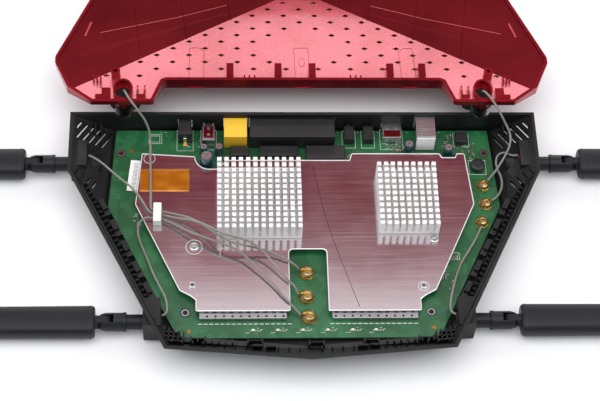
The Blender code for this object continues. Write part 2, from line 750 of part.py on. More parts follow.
def oval_rows(radius, low, high):
    """Oval posts on both sides, on the line of the cover's antennas."""
    bm = bmesh.new()
    for side in (-1, 1):
        made = bmesh.ops.create_cone(
            bm, cap_ends=True, segments=28, radius1=radius[0], radius2=radius[0], depth=high - low)
        spot = Matrix.Translation((side * COVER_BOSS[0], COVER_BOSS[1], (low + high) / 2))
        stretch = Matrix.Diagonal((1, radius[1] / radius[0], 1, 1))
        bmesh.ops.transform(bm, matrix=spot @ stretch, verts=made["verts"])
    return bm


def cover_bosses(cover):
    """Cups that hold the shafts of the cover's two antennas."""
    long = SOCKET_R * BOSS_LONG
    bosses = oval_rows((SOCKET_R, long), BOSS_FACE_Z, COVER_HEIGHT)
    cups = oval_rows((SOCKET_R - CUP_WALL, long - CUP_WALL), CUP_FLOOR_Z, COVER_HEIGHT + 2)
    bores = oval_rows((BORE_R, BORE_R), BOSS_FACE_Z - 2, CUP_FLOOR_Z + 1)
    join(cover, mesh_object("cover_bosses", bosses, RED, CUTTERS))
    cut(cover, mesh_object("boss_cups", cups, RED, CUTTERS))
    cut(cover, mesh_object("boss_bores", bores, RED, CUTTERS))


SCREW_POST = (128.0, 28.0, 3.2, 8.5)     # x, y, radius and height above the wall's outer face
SCREW_HOLE_R = 1.3
HOOKS = (-50.0, -17.0, 6.4, 60.1, 82.2)  # x of the hooks behind the rear edge
HOOK = (4.8, 10.5, 8.0)
RIBS = (-40.1, -36.7, -33.2, 32.8, 36.4, 39.9)
RIB = (1.0, 6.0, 4.0)
LOBE_WALLS = (
    ((133.7, 8.2, 6.0, 8.0, 4.6), (110.2, 6.0, 6.4, 1.3, 4.3)),
    ((138.4, 5.6, 5.0, 2.4, 4.0), (107.8, 9.8, 1.3, 8.0, 5.4)),
    ((112.5, 9.8, 1.3, 8.0, 5.4),),
)                              # x, y, width, depth and height of the small walls in the lobes


def standing(x, y, width, depth, height):
    """A box that starts inside the panel's wall and rises above its outer face."""
    low = panel_z(y) + COVER_WALL / 2
    return ((width, depth, height), (x, y, low + height / 2))


def cover_details(cover):
    hooks = [standing(x, RECESS + 6.5 + HOOK[1] / 2, *HOOK) for x in HOOKS]
    hooks += [standing(x, RECESS + 2.5 + RIB[1] / 2, *RIB) for x in RIBS]
    join(cover, group_of("cover_hooks", add_box, hooks))
    for index, walls in enumerate(LOBE_WALLS):
        rows = [standing(side * x, y, width, depth, height)
                for x, y, width, depth, height in walls for side in (-1, 1)]
        join(cover, group_of("lobe_walls_%d" % index, add_box, rows))
    x, y, radius, height = SCREW_POST
    low = panel_z(y) + 1.0
    posts = [(radius, height, (side * x, y, low + height / 2), "Z", 16) for side in (-1, 1)]
    holes = [(SCREW_HOLE_R, height, (side * x, y, low + height), "Z", 12) for side in (-1, 1)]
    join(cover, group_of("cover_posts", add_cylinder, posts))
    cut(cover, group_of("cover_post_holes", add_cylinder, holes))


def diamond_holes():
    """Rows of diamonds, staggered, narrowing to the peak round a blank middle."""
    bm = bmesh.new()
    for row in range(HOLE_ROWS):
        y = HOLE_FIRST_Y + HOLE_PITCH_Y * row
        if y > PEAK[1] - HOLE_D:
            break
        reach = (HOLE_ROWS - row - 0.9) * HOLE_PITCH_X / 2
        for column in range(-HOLE_ROWS, HOLE_ROWS + 1):
            x = column * HOLE_PITCH_X / 2
            blank = abs(x) / BLANK_HALF[0] + abs(row - BLANK_ROW) * HOLE_PITCH_Y / BLANK_HALF[1] < 1
            at_lobe = abs(x) > LOBE_IN or y > RECESS + HOLE_PITCH_Y * 1.6
            at_boss = abs(abs(x) - COVER_BOSS[0]) < HOLE_W and y < SCREW_POST[1] + HOLE_PITCH_Y * 1.5
            if (column + row) % 2 or abs(x) > reach or blank or at_boss or not at_lobe:
                continue
            made = bmesh.ops.create_cone(bm, cap_ends=True, segments=4, radius1=1.0, radius2=1.0, depth=40.0)
            place = Matrix.Translation((x, y, 18.0)) @ Matrix.Diagonal((HOLE_W / 2, HOLE_D / 2, 1.0, 1.0))
            bmesh.ops.transform(bm, matrix=place, verts=made["verts"])
    return mesh_object("diamond_cutter", bm, DARK, CUTTERS)


# ---- antennas --------------------------------------------------------------------


def knuckle(name, place, shaft, inside):
    """Shaft, ring and slotted fork with its pin, along the local +X from the socket's face."""
    ring = shaft + RING_W
    pivot = ring + RING_TO_PIVOT
    dome = [(FORK_R * cos(a), pivot + FORK_R * sin(a)) for a in (radians(90), radians(60), radians(30), 0.0)]
    dome[0] = (0.0, dome[0][1])
    profile = dome + [(FORK_R, ring), (RING_R, ring), (RING_R, shaft), (SHAFT_R, shaft), (SHAFT_R, -inside),
                      (0.0, -inside)]
    piece = turned(name, profile, BLACK, steps=20)
    piece.matrix_local = place @ Matrix.Rotation(pi / 2, 4, "Y")
    bm = bmesh.new()
    back = pivot - TONGUE_R - 0.7
    add_box(bm, (pivot + 10 - back, SLOT_W, 4 * FORK_R), ((pivot + 10 + back) / 2, 0, 0))
    slot = mesh_object(name + "_slot", bm, DARK, CUTTERS)
    slot.matrix_local = place
    cut(piece, slot)
    bm = bmesh.new()
    add_cylinder(bm, PIN_R, SLOT_W + 4, (pivot, 0, 0), "Y", 12)
    pin = mesh_object(name + "_pin", bm, DARK, CUTTERS)
    pin.matrix_local = place
    join(piece, pin)


def paddle_section(x, width, thick, sides=16):
    """A rounded section across the paddle at a distance from its end face."""
    points = []
    for i in range(sides):
        a = 2 * pi * (i + 0.5) / sides
        c, s = cos(a), sin(a)
        y = width / 2 * abs(c) ** 0.55 * (1 if c > 0 else -1)
        z = thick / 2 * abs(s) ** 0.7 * (1 if s > 0 else -1)
        points.append((x, y, z))
    return points


def paddle(name, place, shaft, folded):
    """Antenna blade with the tongue that turns on the fork's pin."""
    pivot = shaft + RING_W + RING_TO_PIVOT
    start = TONGUE_OUT
    end = TONGUE_OUT + PADDLE_L
    sections = [(start, 0.9), (start + 1.2, 1.0), (end - 6.0, 0.97), (end - 1.5, 0.9), (end, 0.74)]
    blade = loft(name, [paddle_section(x, PADDLE_W * k, PADDLE_T * k) for x, k in sections], BLACK)
    turn = Matrix.Rotation(-pi / 2 if folded else 0.0, 4, "Y")
    at_pivot = place @ Matrix.Translation((pivot * MM, 0, 0)) @ turn
    bm = bmesh.new()
    rounded = arc((0, 0), TONGUE_R, pi / 2, 3 * pi / 2, 10)
    add_prism(bm, rounded + [(start + 1.0, -TONGUE_R), (start + 1.0, TONGUE_R)], TONGUE_W)
    tongue = mesh_object(name + "_tongue", bm, DARK, CUTTERS)
    bm = bmesh.new()
    add_cylinder(bm, PIN_R + GAP, TONGUE_W + 2, (0, 0, 0), "Y", 16)
    bore = mesh_object(name + "_bore", bm, DARK, CUTTERS)
    for piece in (blade, tongue, bore):
        piece.matrix_local = at_pivot
    join(blade, tongue)
    cut(blade, bore)


def antenna_places():
    """Name, placing matrix, visible shaft and whether the paddle is folded at rest."""
    places = []
    for name, side, depth, outer, _ in sockets():
        turn = Matrix.Rotation(pi if side < 0 else 0.0, 4, "Z")
        spot = Vector((side * outer, -depth, ANT_Z)) * MM
        places.append((name, Matrix.Translation(spot) @ turn, SIDE_SHAFT, False))
    down = Matrix(((0, -1, 0, 0), (0, 0, 1, 0), (-1, 0, 0, 0), (0, 0, 0, 1)))
    for side in (-1, 1):
        name = "cover_left" if side < 0 else "cover_right"
        spot = Vector((side * COVER_BOSS[0], COVER_BOSS[1], BOSS_FACE_Z)) * MM
        places.append((name, Matrix.Translation(spot) @ down, COVER_SHAFT, True))
    return places


def antennas():
    for name, place, shaft, folded in antenna_places():
        knuckle("knuckle_" + name, place, shaft, COVER_SHAFT_IN if folded else SIDE_SHAFT_IN)
        paddle("paddle_" + name, place, shaft, folded)


# ---- leads -------------------------------------------------------------------------

LEADS = {
    "lead_cover_left": [
        (-122.0, 11.6, 33.4), (-121.6, 10.4, 36.4), (-120.4, 6.4, 39.2), (-117.6, 1.0, 39.6),
        (-112.4, -5.0, 36.0), (-107.5, -9.5, 30.0), (-104.6, -14.0, 23.0), (-103.9, -20.0, 17.2),
        (-103.9, -28.0, 14.8), (-103.6, -38.0, 14.4), (-103.2, -48.0, 14.4), (-103.0, -58.0, 14.6),
        (-102.9, -66.0, 15.9), (-102.1, -71.3, 16.3), (-97.5, -72.9, 16.5), (-87.3, -76.4, 17.8),
        (-78.7, -79.5, 19.0), (-70.8, -84.9, 21.0), (-63.6, -91.8, 23.4), (-56.4, -97.9, 24.8),
        (-49.3, -101.5, 23.8), (-40.2, -102.8, 21.5), (-31.0, -104.0, 19.0), (-21.9, -106.3, 17.0),
        (-14.1, -109.8, 15.8), (-8.9, -112.9, 14.0), (-5.7, -114.1, 10.4)],
    "lead_left_rear": [
        (-145.1, -31.0, 19.4), (-141.0, -32.8, 18.8), (-135.0, -36.5, 17.0), (-129.5, -41.0, 15.2),
        (-123.0, -46.5, 13.8), (-117.0, -52.0, 14.0), (-111.8, -59.0, 14.6), (-107.6, -66.5, 15.6),
        (-104.6, -72.4, 16.2), (-100.6, -75.3, 16.4), (-96.0, -76.1, 16.5), (-85.9, -80.9, 20.2),
        (-76.6, -84.8, 24.0), (-68.7, -89.5, 27.2), (-60.9, -94.5, 28.6), (-53.2, -98.6, 28.4),
        (-44.1, -100.0, 26.2), (-37.0, -102.2, 24.2), (-30.5, -106.1, 21.8), (-24.7, -111.9, 19.6),
        (-18.9, -119.0, 17.6), (-13.8, -124.8, 15.9), (-9.0, -129.2, 13.8), (-6.5, -133.0, 10.4)],
    "lead_left_front": [
        (-93.8, -152.0, 17.4), (-91.4, -150.0, 17.3), (-91.0, -145.0, 16.6), (-92.4, -137.0, 14.6),
        (-96.6, -127.0, 12.2), (-100.6, -117.0, 10.4), (-104.5, -106.0, 9.8), (-108.4, -96.0, 9.9),
        (-110.8, -88.0, 11.2), (-110.4, -82.0, 14.3), (-106.8, -78.7, 16.0), (-101.4, -78.4, 16.5),
        (-96.0, -79.2, 16.5), (-87.2, -84.2, 18.0), (-77.9, -90.6, 19.6), (-69.4, -95.0, 20.6),
        (-61.0, -98.8, 21.2), (-53.2, -102.2, 21.2), (-46.7, -105.2, 20.4), (-40.9, -109.5, 19.4),
        (-34.4, -116.0, 18.2), (-27.4, -123.4, 16.9), (-21.7, -130.1, 16.1), (-16.0, -137.7, 15.3),
        (-10.3, -143.7, 13.4), (-5.6, -148.1, 10.4)],
    "lead_cover_right": [
        (122.4, 11.6, 33.4), (122.8, 10.4, 36.4), (124.4, 6.2, 39.2), (127.6, 0.8, 39.6), (132.4, -5.0, 34.8),
        (137.0, -10.0, 28.0), (140.6, -16.0, 23.0), (140.4, -22.0, 20.4), (138.0, -28.0, 19.0),
        (134.2, -34.0, 16.2), (129.6, -40.0, 13.0), (124.6, -45.2, 10.2)],
    "lead_right_rear": [
        (145.1, -31.0, 19.4), (141.2, -29.8, 17.6), (136.5, -26.4, 15.8), (132.8, -27.0, 13.6),
        (131.2, -31.0, 11.8), (131.8, -36.5, 10.6), (133.6, -42.0, 10.2), (134.0, -48.0, 10.1),
        (132.4, -54.0, 10.1), (129.6, -58.5, 10.1), (126.0, -61.5, 10.1)],
    "lead_right_front": [
        (93.8, -152.0, 17.4), (91.4, -150.0, 17.3), (91.0, -145.0, 16.6), (92.8, -136.0, 14.4),
        (95.6, -126.0, 11.6),
        (98.4, -117.5, 10.0), (102.0, -109.0, 9.8), (107.5, -100.0, 9.8), (112.5, -91.5, 9.9),
        (117.0, -82.1, 10.1)],
}
LEAD_STEP = 3.6                # spacing of the tube's points along the curve
LEAD_BOARD_TOP = 8.0           # board height that the routes above are drawn for
LEAD_BLEND = 4                 # points from the antenna over which a lead takes up a change of that height


def smooth_path(points, spacing):
    """A Catmull-Rom curve through the chosen points, read at an even spacing."""
    spots = [Vector(p) for p in points]
    spots = [2 * spots[0] - spots[1]] + spots + [2 * spots[-1] - spots[-2]]
    dense = []
    for a, b, c, d in zip(spots, spots[1:], spots[2:], spots[3:]):
        for i in range(12):
            t = i / 12
            dense.append(0.5 * (2 * b + (c - a) * t + (2 * a - 5 * b + 4 * c - d) * t * t
                                + (3 * b - a - 3 * c + d) * t * t * t))
    dense.append(spots[-2])
    lengths = [0.0]
    for a, b in zip(dense, dense[1:]):
        lengths.append(lengths[-1] + (b - a).length)
    count = max(2, ceil(lengths[-1] / spacing))
    result = []
    index = 0
    for i in range(count + 1):
        want = lengths[-1] * i / count
        while index < len(lengths) - 2 and lengths[index + 1] < want:
            index += 1
        span = lengths[index + 1] - lengths[index]
        result.append(dense[index].lerp(dense[index + 1], (want - lengths[index]) / span))
    return result


def leads():
    lift = BOARD_TOP - LEAD_BOARD_TOP
    for name, points in LEADS.items():
        raised = [(x, y, z + lift * min(1.0, i / LEAD_BLEND)) for i, (x, y, z) in enumerate(points)]
        path = smooth_path(raised, LEAD_STEP)
        curve = bpy.data.curves.new(name, "CURVE")
        curve.dimensions = "3D"
        curve.bevel_depth = LEAD_D / 2 * MM
        curve.bevel_resolution = 2
        curve.use_fill_caps = True
        spline = curve.splines.new("POLY")
        spline.points.add(len(path) - 1)
        for point, spot in zip(spline.points, path):
            point.co = (*(spot * MM), 1.0)
        finish(bpy.data.objects.new(name, curve), GREY)


CLIP = (-98.3, -75.6, 5.4, 14.6)     # x, y, length along the leads, width across them
CLIP_WALL = 1.5
CLIP_BASE = 1.4
CLIP_HEIGHT = 6.2


def cable_clip():
    x, y, length, width = CLIP
    clip = box_between("cable_clip", (x - length / 2, y - width / 2, sink_z),
                       (x + length / 2, y + width / 2, sink_z + CLIP_HEIGHT), WHITE)
    low = sink_z + CLIP_BASE
    high = sink_z + CLIP_HEIGHT - CLIP_WALL
    tunnel = box_between("clip_tunnel", (x - length, y - width / 2 + CLIP_WALL, low),
                         (x + length, y + width / 2 - CLIP_WALL, high), DARK, CUTTERS)
    cut(clip, tunnel)


def main():
    base_tray()
    rubber_feet()
    circuit_board()
    network_jacks()
    usb_ports()
    power_inlet()
    switches()
    small_components()
    terminals()
    heat_spreader()
    heatsink("heatsink_large", *LARGE_SINK)
    heatsink("heatsink_small", *SMALL_SINK)
    screws()
    top_cover()
    antennas()
    cable_clip()
    leads()
    bpy.context.view_layer.update()


main()
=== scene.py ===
# %% [markdown]
# # An opened wireless router
# The real object is a home router that somebody has taken apart: a flat black tray with
# its circuit board, an aluminium plate and two heatsinks, six stubby antennas on ball-like
# knuckles, and a red lid turned over behind it, still tied to the board by two thin leads.
# This notebook dresses the finished CAD model. Every size and place comes from that model,
# so the first step loads it.

# %% Load the model
import json
import random
from math import atan2, ceil, cos, pi, radians, sin

import bmesh
import bpy
from mathutils import Matrix, Vector
from mathutils.bvhtree import BVHTree


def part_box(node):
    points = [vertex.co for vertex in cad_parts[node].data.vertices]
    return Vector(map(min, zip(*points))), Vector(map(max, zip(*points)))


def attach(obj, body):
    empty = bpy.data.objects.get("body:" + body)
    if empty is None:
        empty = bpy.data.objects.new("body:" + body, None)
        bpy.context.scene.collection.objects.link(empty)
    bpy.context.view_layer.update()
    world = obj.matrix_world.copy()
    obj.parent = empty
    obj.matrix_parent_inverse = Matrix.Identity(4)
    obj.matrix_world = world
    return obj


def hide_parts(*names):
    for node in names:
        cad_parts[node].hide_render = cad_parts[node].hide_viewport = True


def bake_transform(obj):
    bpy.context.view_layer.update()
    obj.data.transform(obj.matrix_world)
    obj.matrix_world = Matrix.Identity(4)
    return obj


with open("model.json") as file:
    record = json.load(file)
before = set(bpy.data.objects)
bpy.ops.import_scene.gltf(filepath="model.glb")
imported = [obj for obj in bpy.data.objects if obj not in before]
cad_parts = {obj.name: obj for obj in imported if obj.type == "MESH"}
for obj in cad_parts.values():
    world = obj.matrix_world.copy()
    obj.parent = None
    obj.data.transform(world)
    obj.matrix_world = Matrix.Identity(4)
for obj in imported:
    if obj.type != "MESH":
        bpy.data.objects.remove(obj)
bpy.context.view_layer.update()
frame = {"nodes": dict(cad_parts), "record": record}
NODES = frame["nodes"]
MM = 0.001

# %% [markdown]
# ## The camera
# The camera stands in front of the router and looks down on it at about 58 degrees, a
# little from the left, with a slight roll, through a long lens that keeps the sides nearly
# parallel. It is built from a point that it looks at, a distance and three angles, because
# those are the numbers written down in a studio.

# %% Camera
AIM = Vector((-2.87, -55.82, 0.0)) * MM
DISTANCE = 1.15571
AZIMUTH = radians(-5.17)
ELEVATION = radians(57.74)
ROLL = radians(4.29)
LENS = 102.43
SENSOR = 36.0
NEAREST = 0.01

camera_data = bpy.data.cameras.new("camera")
camera_data.lens = LENS
camera_data.sensor_width = SENSOR
camera_data.clip_start = NEAREST
camera = bpy.data.objects.new("camera", camera_data)
turn = (Matrix.Rotation(AZIMUTH, 4, "Z") @ Matrix.Rotation(pi / 2 - ELEVATION, 4, "X")
        @ Matrix.Rotation(ROLL, 4, "Z"))
camera.matrix_world = Matrix.Translation(AIM) @ turn @ Matrix.Translation((0, 0, DISTANCE))
bpy.context.scene.collection.objects.link(camera)
bpy.context.scene.camera = camera
print("camera at", [round(v, 3) for v in camera.matrix_world.translation])

# %% [markdown]
# ## Small helpers
# A material is a little network of nodes. One function adds a node, sets it and links it,
# and another lets patterns drive colour, polish and bumps, so each material further down
# reads as a short recipe. Colours are written as the hex values a paint chart would give,
# and one function turns them to the linear light values that the renderer works in.

# %% Colours and nodes
def colour(code):
    """An sRGB hex value as linear light, with alpha."""
    parts = [int(code[i:i + 2], 16) / 255 for i in (1, 3, 5)]
    return (*[c / 12.92 if c <= 0.04045 else ((c + 0.055) / 1.055) ** 2.4 for c in parts], 1.0)


def add(tree, kind, inputs=None, **settings):
    """One node with its settings. An input takes a value, or what it is linked from: an
    output socket, or a node, which stands for its first output."""
    node = tree.nodes.new(kind)
    for key, value in settings.items():
        setattr(node, key, value)
    for key, value in (inputs or {}).items():
        if isinstance(value, bpy.types.Node):
            value = value.outputs[0]
        if isinstance(value, bpy.types.NodeSocket):
            tree.links.new(value, node.inputs[key])
        else:
            node.inputs[key].default_value = value
    return node


def new_material(name, base, rough, metal=0.0, **sockets):
    """A Principled material, returned with its tree."""
    material = bpy.data.materials.new(name)
    material.use_nodes = True
    shader = material.node_tree.nodes["Principled BSDF"]
    shader.inputs["Base Color"].default_value = colour(base)
    shader.inputs["Roughness"].default_value = rough
    shader.inputs["Metallic"].default_value = metal
    for key, value in sockets.items():
        shader.inputs[key.replace("_", " ")].default_value = value
    material.diffuse_color = colour(base)
    return material, material.node_tree


def spots(tree, size_mm, detail=3.0, stretch=(1, 1, 1)):
    """Noise on object coordinates whose blotches are about size_mm across."""
    place = add(tree, "ShaderNodeTexCoord").outputs["Object"]
    scaled = add(tree, "ShaderNodeMapping", {"Vector": place, "Scale": stretch})
    return add(tree, "ShaderNodeTexNoise", {
        "Vector": scaled, "Scale": 1 / (size_mm * MM), "Detail": detail})


def surface(tree, fac, stops, rough=None, relief=None, key="Base Color"):
    """Lets patterns set a material's look: its colour by (position, hex) stops, its roughness
    by (pattern, low, high) and its bumps by (pattern, depth in mm, strength)."""
    shader = tree.nodes["Principled BSDF"]
    ramp = add(tree, "ShaderNodeValToRGB", {"Fac": fac})
    elements = ramp.color_ramp.elements
    while len(elements) < len(stops):
        elements.new(0.5)
    for element, (place, code) in zip(elements, stops):
        element.position = place
        element.color = colour(code)
    tree.links.new(ramp.outputs["Color"], shader.inputs[key])
    if rough:
        span = add(tree, "ShaderNodeMapRange", dict(zip(("Value", "To Min", "To Max"), rough)))
        tree.links.new(span.outputs["Result"], shader.inputs["Roughness"])
    if relief:
        bumps = add(tree, "ShaderNodeBump", {
            "Height": relief[0], "Distance": relief[1] * MM, "Strength": relief[2]})
        tree.links.new(bumps.outputs["Normal"], shader.inputs["Normal"])


print("helpers ready")

# %% [markdown]
# ## Plastics
# The tray and the antennas are **ABS, moulded in a spark-eroded tool**: the tool leaves a
# fine pebble, about half a millimetre between bumps, so light spreads into a soft grey
# sheen instead of a mirror. Handling polishes it unevenly, which a broad noise in the
# roughness gives. The pebble is drawn at 0.7 mm, a little coarser than the real one, so
# that it shows.

# %% Black and dark plastics
def moulded(name, base, light, rough, grain_mm=0.7, depth_mm=0.02, **sockets):
    """Textured moulded plastic: two close colours, uneven polish and a pebbled surface."""
    material, tree = new_material(name, base, rough, **sockets)
    broad = spots(tree, 28.0, 4.0)
    surface(tree, broad, [(0.3, base), (0.75, light)], (broad, rough - 0.08, rough + 0.1),
            (spots(tree, grain_mm, 2.0), depth_mm, 0.6))
    return material


BLACK_ABS = moulded(
    "black_abs_spark_eroded", "#131314", "#1B1B1D", 0.46, Specular_IOR_Level=0.3)
ANTENNA_ABS = moulded(
    "antenna_abs_satin", "#131417", "#191A1D", 0.42, 0.5, 0.012, Specular_IOR_Level=0.3)
DARK_NYLON = moulded("glass_filled_nylon_dark", "#161617", "#1F1F20", 0.38, 0.5, 0.015)
YELLOW_NYLON = moulded("yellow_nylon_moulded", "#E3B12A", "#EFC23A", 0.40, 0.6, 0.012)
WHITE_NYLON = moulded("white_nylon_natural", "#DEDCD3", "#EAE8E0", 0.42, 0.6, 0.012)
FOOT_RUBBER = moulded("foot_rubber_moulded", "#232323", "#2C2C2C", 0.8, 0.6, 0.02)
# Painted shade: a darker black for the shaded step, the insides of the side boxes and each collar's
# fine line.
SHADOW_PLASTIC = moulded("black_abs_painted_shade", "#0E0E0F", "#141415", 0.5, 0.7, 0.02)
GREY_JACKET = moulded("lead_jacket_fep_grey", "#77736E", "#8A8680", 0.34, 0.9, 0.01)
TEAL_SLEEVE = moulded("capacitor_sleeve_pet", "#0B3638", "#124647", 0.24, 1.0, 0.005)
print("plastics ready")

# %% [markdown]
# ## The red lid
# The lid is **polycarbonate with a metallic red coat under clear lacquer**. Its broad inner
# panel faces the bright end of the studio and glows light pinkish red, while the side
# facets face away and stay deep wine red. Panel and facets are one paint: the panel's glow
# is painted light with a painted mottled highlight, and the facets' deep red is painted
# shade. The lacquer is a coat layer on the shader, and aluminium flake is a fine noise in
# the colour. Four materials of one family give panel, facets, rim and seams their reds.

# %% Red lacquer
def lacquer(name, deep, bright, metal, rough, coat):
    """Metallic paint: cloudy red with fine flake in it, under clear lacquer."""
    material, tree = new_material(
        name, deep, rough, metal, Coat_Weight=coat, Coat_Roughness=0.12)
    broad = spots(tree, 60.0, 3.0)
    flake = spots(tree, 0.8, 1.0)
    mixed = add(tree, "ShaderNodeMath", {0: flake, 1: 0.7, 2: broad}, operation="MULTIPLY_ADD")
    scaled = add(tree, "ShaderNodeMapRange", {"Value": mixed, "From Min": 0.45, "From Max": 1.2})
    surface(tree, scaled, [(0.2, deep), (0.8, bright)],
            (broad, rough - 0.05, rough + 0.08), (spots(tree, 1.2, 2.0), 0.006, 0.5))
    return material


# Painted light: the panel's copy of the paint is lit red, and its broad cloud is a painted mottled
# highlight.
RED_PANEL_PAINTED_LIGHT = lacquer("red_lacquer_panel_painted_light", "#9A1F2B", "#C95A66", 0.5, 0.34, 0.6)
# Painted shade: the facets' copy of the same paint, darkened; it is also the deep red of the switch
# top and the USB window.
RED_DEEP_AND_FACET_SHADE = lacquer("red_lacquer_deep_and_facet_shade", "#5C0912", "#78111B", 0.85, 0.36, 0.0)
RED_RIM = lacquer("red_lacquer_rim", "#85101B", "#A01A27", 0.8, 0.26, 0.3)
RED_SEAM = lacquer("red_lacquer_seam", "#B5323E", "#CC4A55", 0.3, 0.28, 0.7)
print("red lacquer ready")

# %% [markdown]
# ## Metals
# - The plate is **rolled aluminium sheet**, brushed along its length: long faint lines,
#   and a highlight that stretches across them. The lines are noise squeezed hard in one
#   direction. Its grey carries a faint mauve, a painted reflection of the red lid.
# - The heatsinks are **aluminium, sawn and clear anodised**: pale and soft; their near
#   white colour is partly a painted reflection of the bright studio.
# - The can and the sockets are **tin-plated steel sheet**: smoother and a little darker.
# - A metal's colour is its reflection, so all of them keep the default IOR.

# %% Metals
def rolled(name, dark, light, rough, line_mm, direction, metal=1.0, depth_mm=0.004):
    """Metal with brushing lines: noise drawn out along one direction."""
    material, tree = new_material(name, light, rough, metal)
    stretch = (0.02, 1, 1) if direction == "X" else (1, 0.02, 1)
    lines = spots(tree, line_mm, 3.0, stretch)
    cloud = spots(tree, 34.0, 4.0)
    both = add(tree, "ShaderNodeMath", {0: lines, 1: cloud}, operation="ADD")
    half = add(tree, "ShaderNodeMath", {0: both, 1: 0.5}, operation="MULTIPLY")
    surface(tree, half, [(0.3, dark), (0.7, light)], (half, rough - 0.08, rough + 0.12),
            (lines, depth_mm, 0.5))
    return material


# Painted reflection: a faint mauve tint in the plate's grey stands for the red lid mirrored in it.
PLATE_METAL_WITH_PAINTED_TINT = rolled(
    "aluminium_sheet_brushed", "#D6D1D4", "#E8E4E7", 0.13, 0.9, "X", depth_mm=0.0010)
# Pale aluminium with painted sheen: its near-white colour stands partly for reflected studio light,
# and it paints the highlights on the plate's rim and pressed rings.
PALE_METAL_AND_PAINTED_SHEEN = rolled("aluminium_pale_and_painted_sheen", "#E2E0E0", "#F6F4F3", 0.42, 0.8, "Y", 0.4)
CAN_STEEL = rolled("tin_plated_steel", "#A9A9AC", "#CDCDD0", 0.24, 0.8, "X")
SOLDER = rolled("tin_solder_reflowed", "#C4C5C7", "#E3E4E5", 0.22, 0.9, "X")
GOLD = rolled("gold_flash_contact", "#B98A2E", "#E2B75A", 0.24, 0.5, "Y")
COPPER = rolled("copper_pad_bare", "#A8662F", "#C98848", 0.3, 0.6, "X")
SCREW_STEEL = rolled("zinc_plated_screw", "#A6A7AA", "#D9DADC", 0.25, 0.4, "X")
print("metals ready")

# %% [markdown]
# ## Board, resin, film and paint
# - The board is **glass-epoxy laminate under green solder mask**. Copper tracks show
#   through the mask as slightly lighter lines, here a brick pattern of long thin cells,
#   broken up by noise, about 0.5 mm wide.
# - The drops over the soldered leads are **amber resin**: clear and glossy, with most of
#   the light going through.
# - The film is **polyimide tape**, a clear orange sheet.
# - The screen print and the blank stickers are **flat white ink and paper**.

# %% Board and coatings
GREEN_MASK, tree = new_material("solder_mask_green", "#175A31", 0.30, Coat_Weight=0.35)
place = add(tree, "ShaderNodeTexCoord").outputs["Object"]
tracks = add(tree, "ShaderNodeTexBrick", {
    "Vector": place, "Scale": 1 / (4.0 * MM), "Mortar Size": 0.06, "Mortar Smooth": 0.3,
    "Brick Width": 2.6, "Row Height": 0.28}, offset=0.37, squash=1.6)
patches = add(
    tree, "ShaderNodeMath", {0: spots(tree, 9.0, 1.0), 1: 0.5}, operation="GREATER_THAN")
shown = add(tree, "ShaderNodeMath", {0: tracks.outputs["Fac"], 1: patches}, operation="MULTIPLY")
shade = add(
    tree, "ShaderNodeMath", {0: shown, 1: 0.35, 2: spots(tree, 40.0, 2.0)},
    operation="MULTIPLY_ADD")
surface(tree, shade, [(0.3, "#124C2A"), (0.6, "#185A32"), (0.9, "#2A7344")],
        relief=(shown, 0.03, 0.5))

AMBER_RESIN, tree = new_material(
    "amber_resin_clear", "#E0A21E", 0.04, Transmission_Weight=0.96, IOR=1.5)
surface(tree, spots(tree, 3.0), [(0.3, "#EFC04A"), (0.7, "#FBE49A")])

POLYIMIDE, tree = new_material("polyimide_tape", "#C9791A", 0.16, 0.25, Coat_Weight=0.6)
surface(tree, spots(tree, 16.0, 3.0, (1, 2, 1)),
        [(0.3, "#A1570B"), (0.55, "#B56A12"), (0.75, "#C98426")],
        relief=(spots(tree, 12.0, 2.0), 0.12, 0.5))

WHITE_INK = moulded("screen_print_ink", "#DDE3DC", "#EEF2EC", 0.55, 0.5, 0.004)
PAPER = moulded("sticker_paper", "#EDEDEA", "#F7F7F4", 0.6, 0.4, 0.004)
PAPER_BAR = moulded("sticker_ink_grey", "#70716F", "#8A8B89", 0.6, 0.4, 0.004)
CHIP_BLACK = moulded("epoxy_chip_black", "#1A1A1B", "#252526", 0.4, 0.3, 0.004)
CERAMIC = moulded("ceramic_part_tan", "#8C7460", "#A98E78", 0.4, 0.3, 0.004)
LED_LENS = moulded("led_lens_yellow", "#E8D27A", "#F5E7A6", 0.25, 0.5, 0.004)
RED_DOT = moulded("marker_paint_red", "#C4161C", "#DB2A30", 0.3, 0.5, 0.004)
HOLE_DARK = moulded("hole_in_shadow", "#050505", "#080808", 0.7, 0.5, 0.004)
print("materials:", len(bpy.data.materials))

# %% [markdown]
# ## Dressing the CAD solids
# The CAD solids arrive as loose triangles with knife-sharp edges. Real moulded and sheet
# metal edges are rounded by a few tenths of a millimetre, and that small radius is what
# catches the light. So each solid is copied, its triangles are merged back into whole
# faces, and a bevel rounds the edges. The original is left untouched and hidden, because
# the simulation still needs it.

# %% Copy, merge and round a solid
MERGE = 0.001 * MM
FLAT_ENOUGH = radians(0.6)
SHARP = radians(32)


def keep_modifiers_result(obj):
    """Turns an object with modifiers into a plain mesh."""
    bpy.context.view_layer.update()
    evaluated = obj.evaluated_get(bpy.context.evaluated_depsgraph_get())
    mesh = bpy.data.meshes.new_from_object(evaluated)
    obj.modifiers.clear()
    obj.data = mesh
    return obj


def new_piece(name, mesh):
    """An object for a mesh, linked into the scene."""
    obj = bpy.data.objects.new(name, mesh)
    bpy.context.scene.collection.objects.link(obj)
    return obj


def piece_of(name, verts, faces, material):
    """A piece from corners in metres and faces, in one material."""
    mesh = bpy.data.meshes.new(name)
    mesh.from_pydata(verts, [], faces)
    mesh.materials.append(material)
    return new_piece(name, mesh)


def place_on(obj, body):
    """Lets a finished piece ride on its body."""
    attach(obj, body)
    return obj


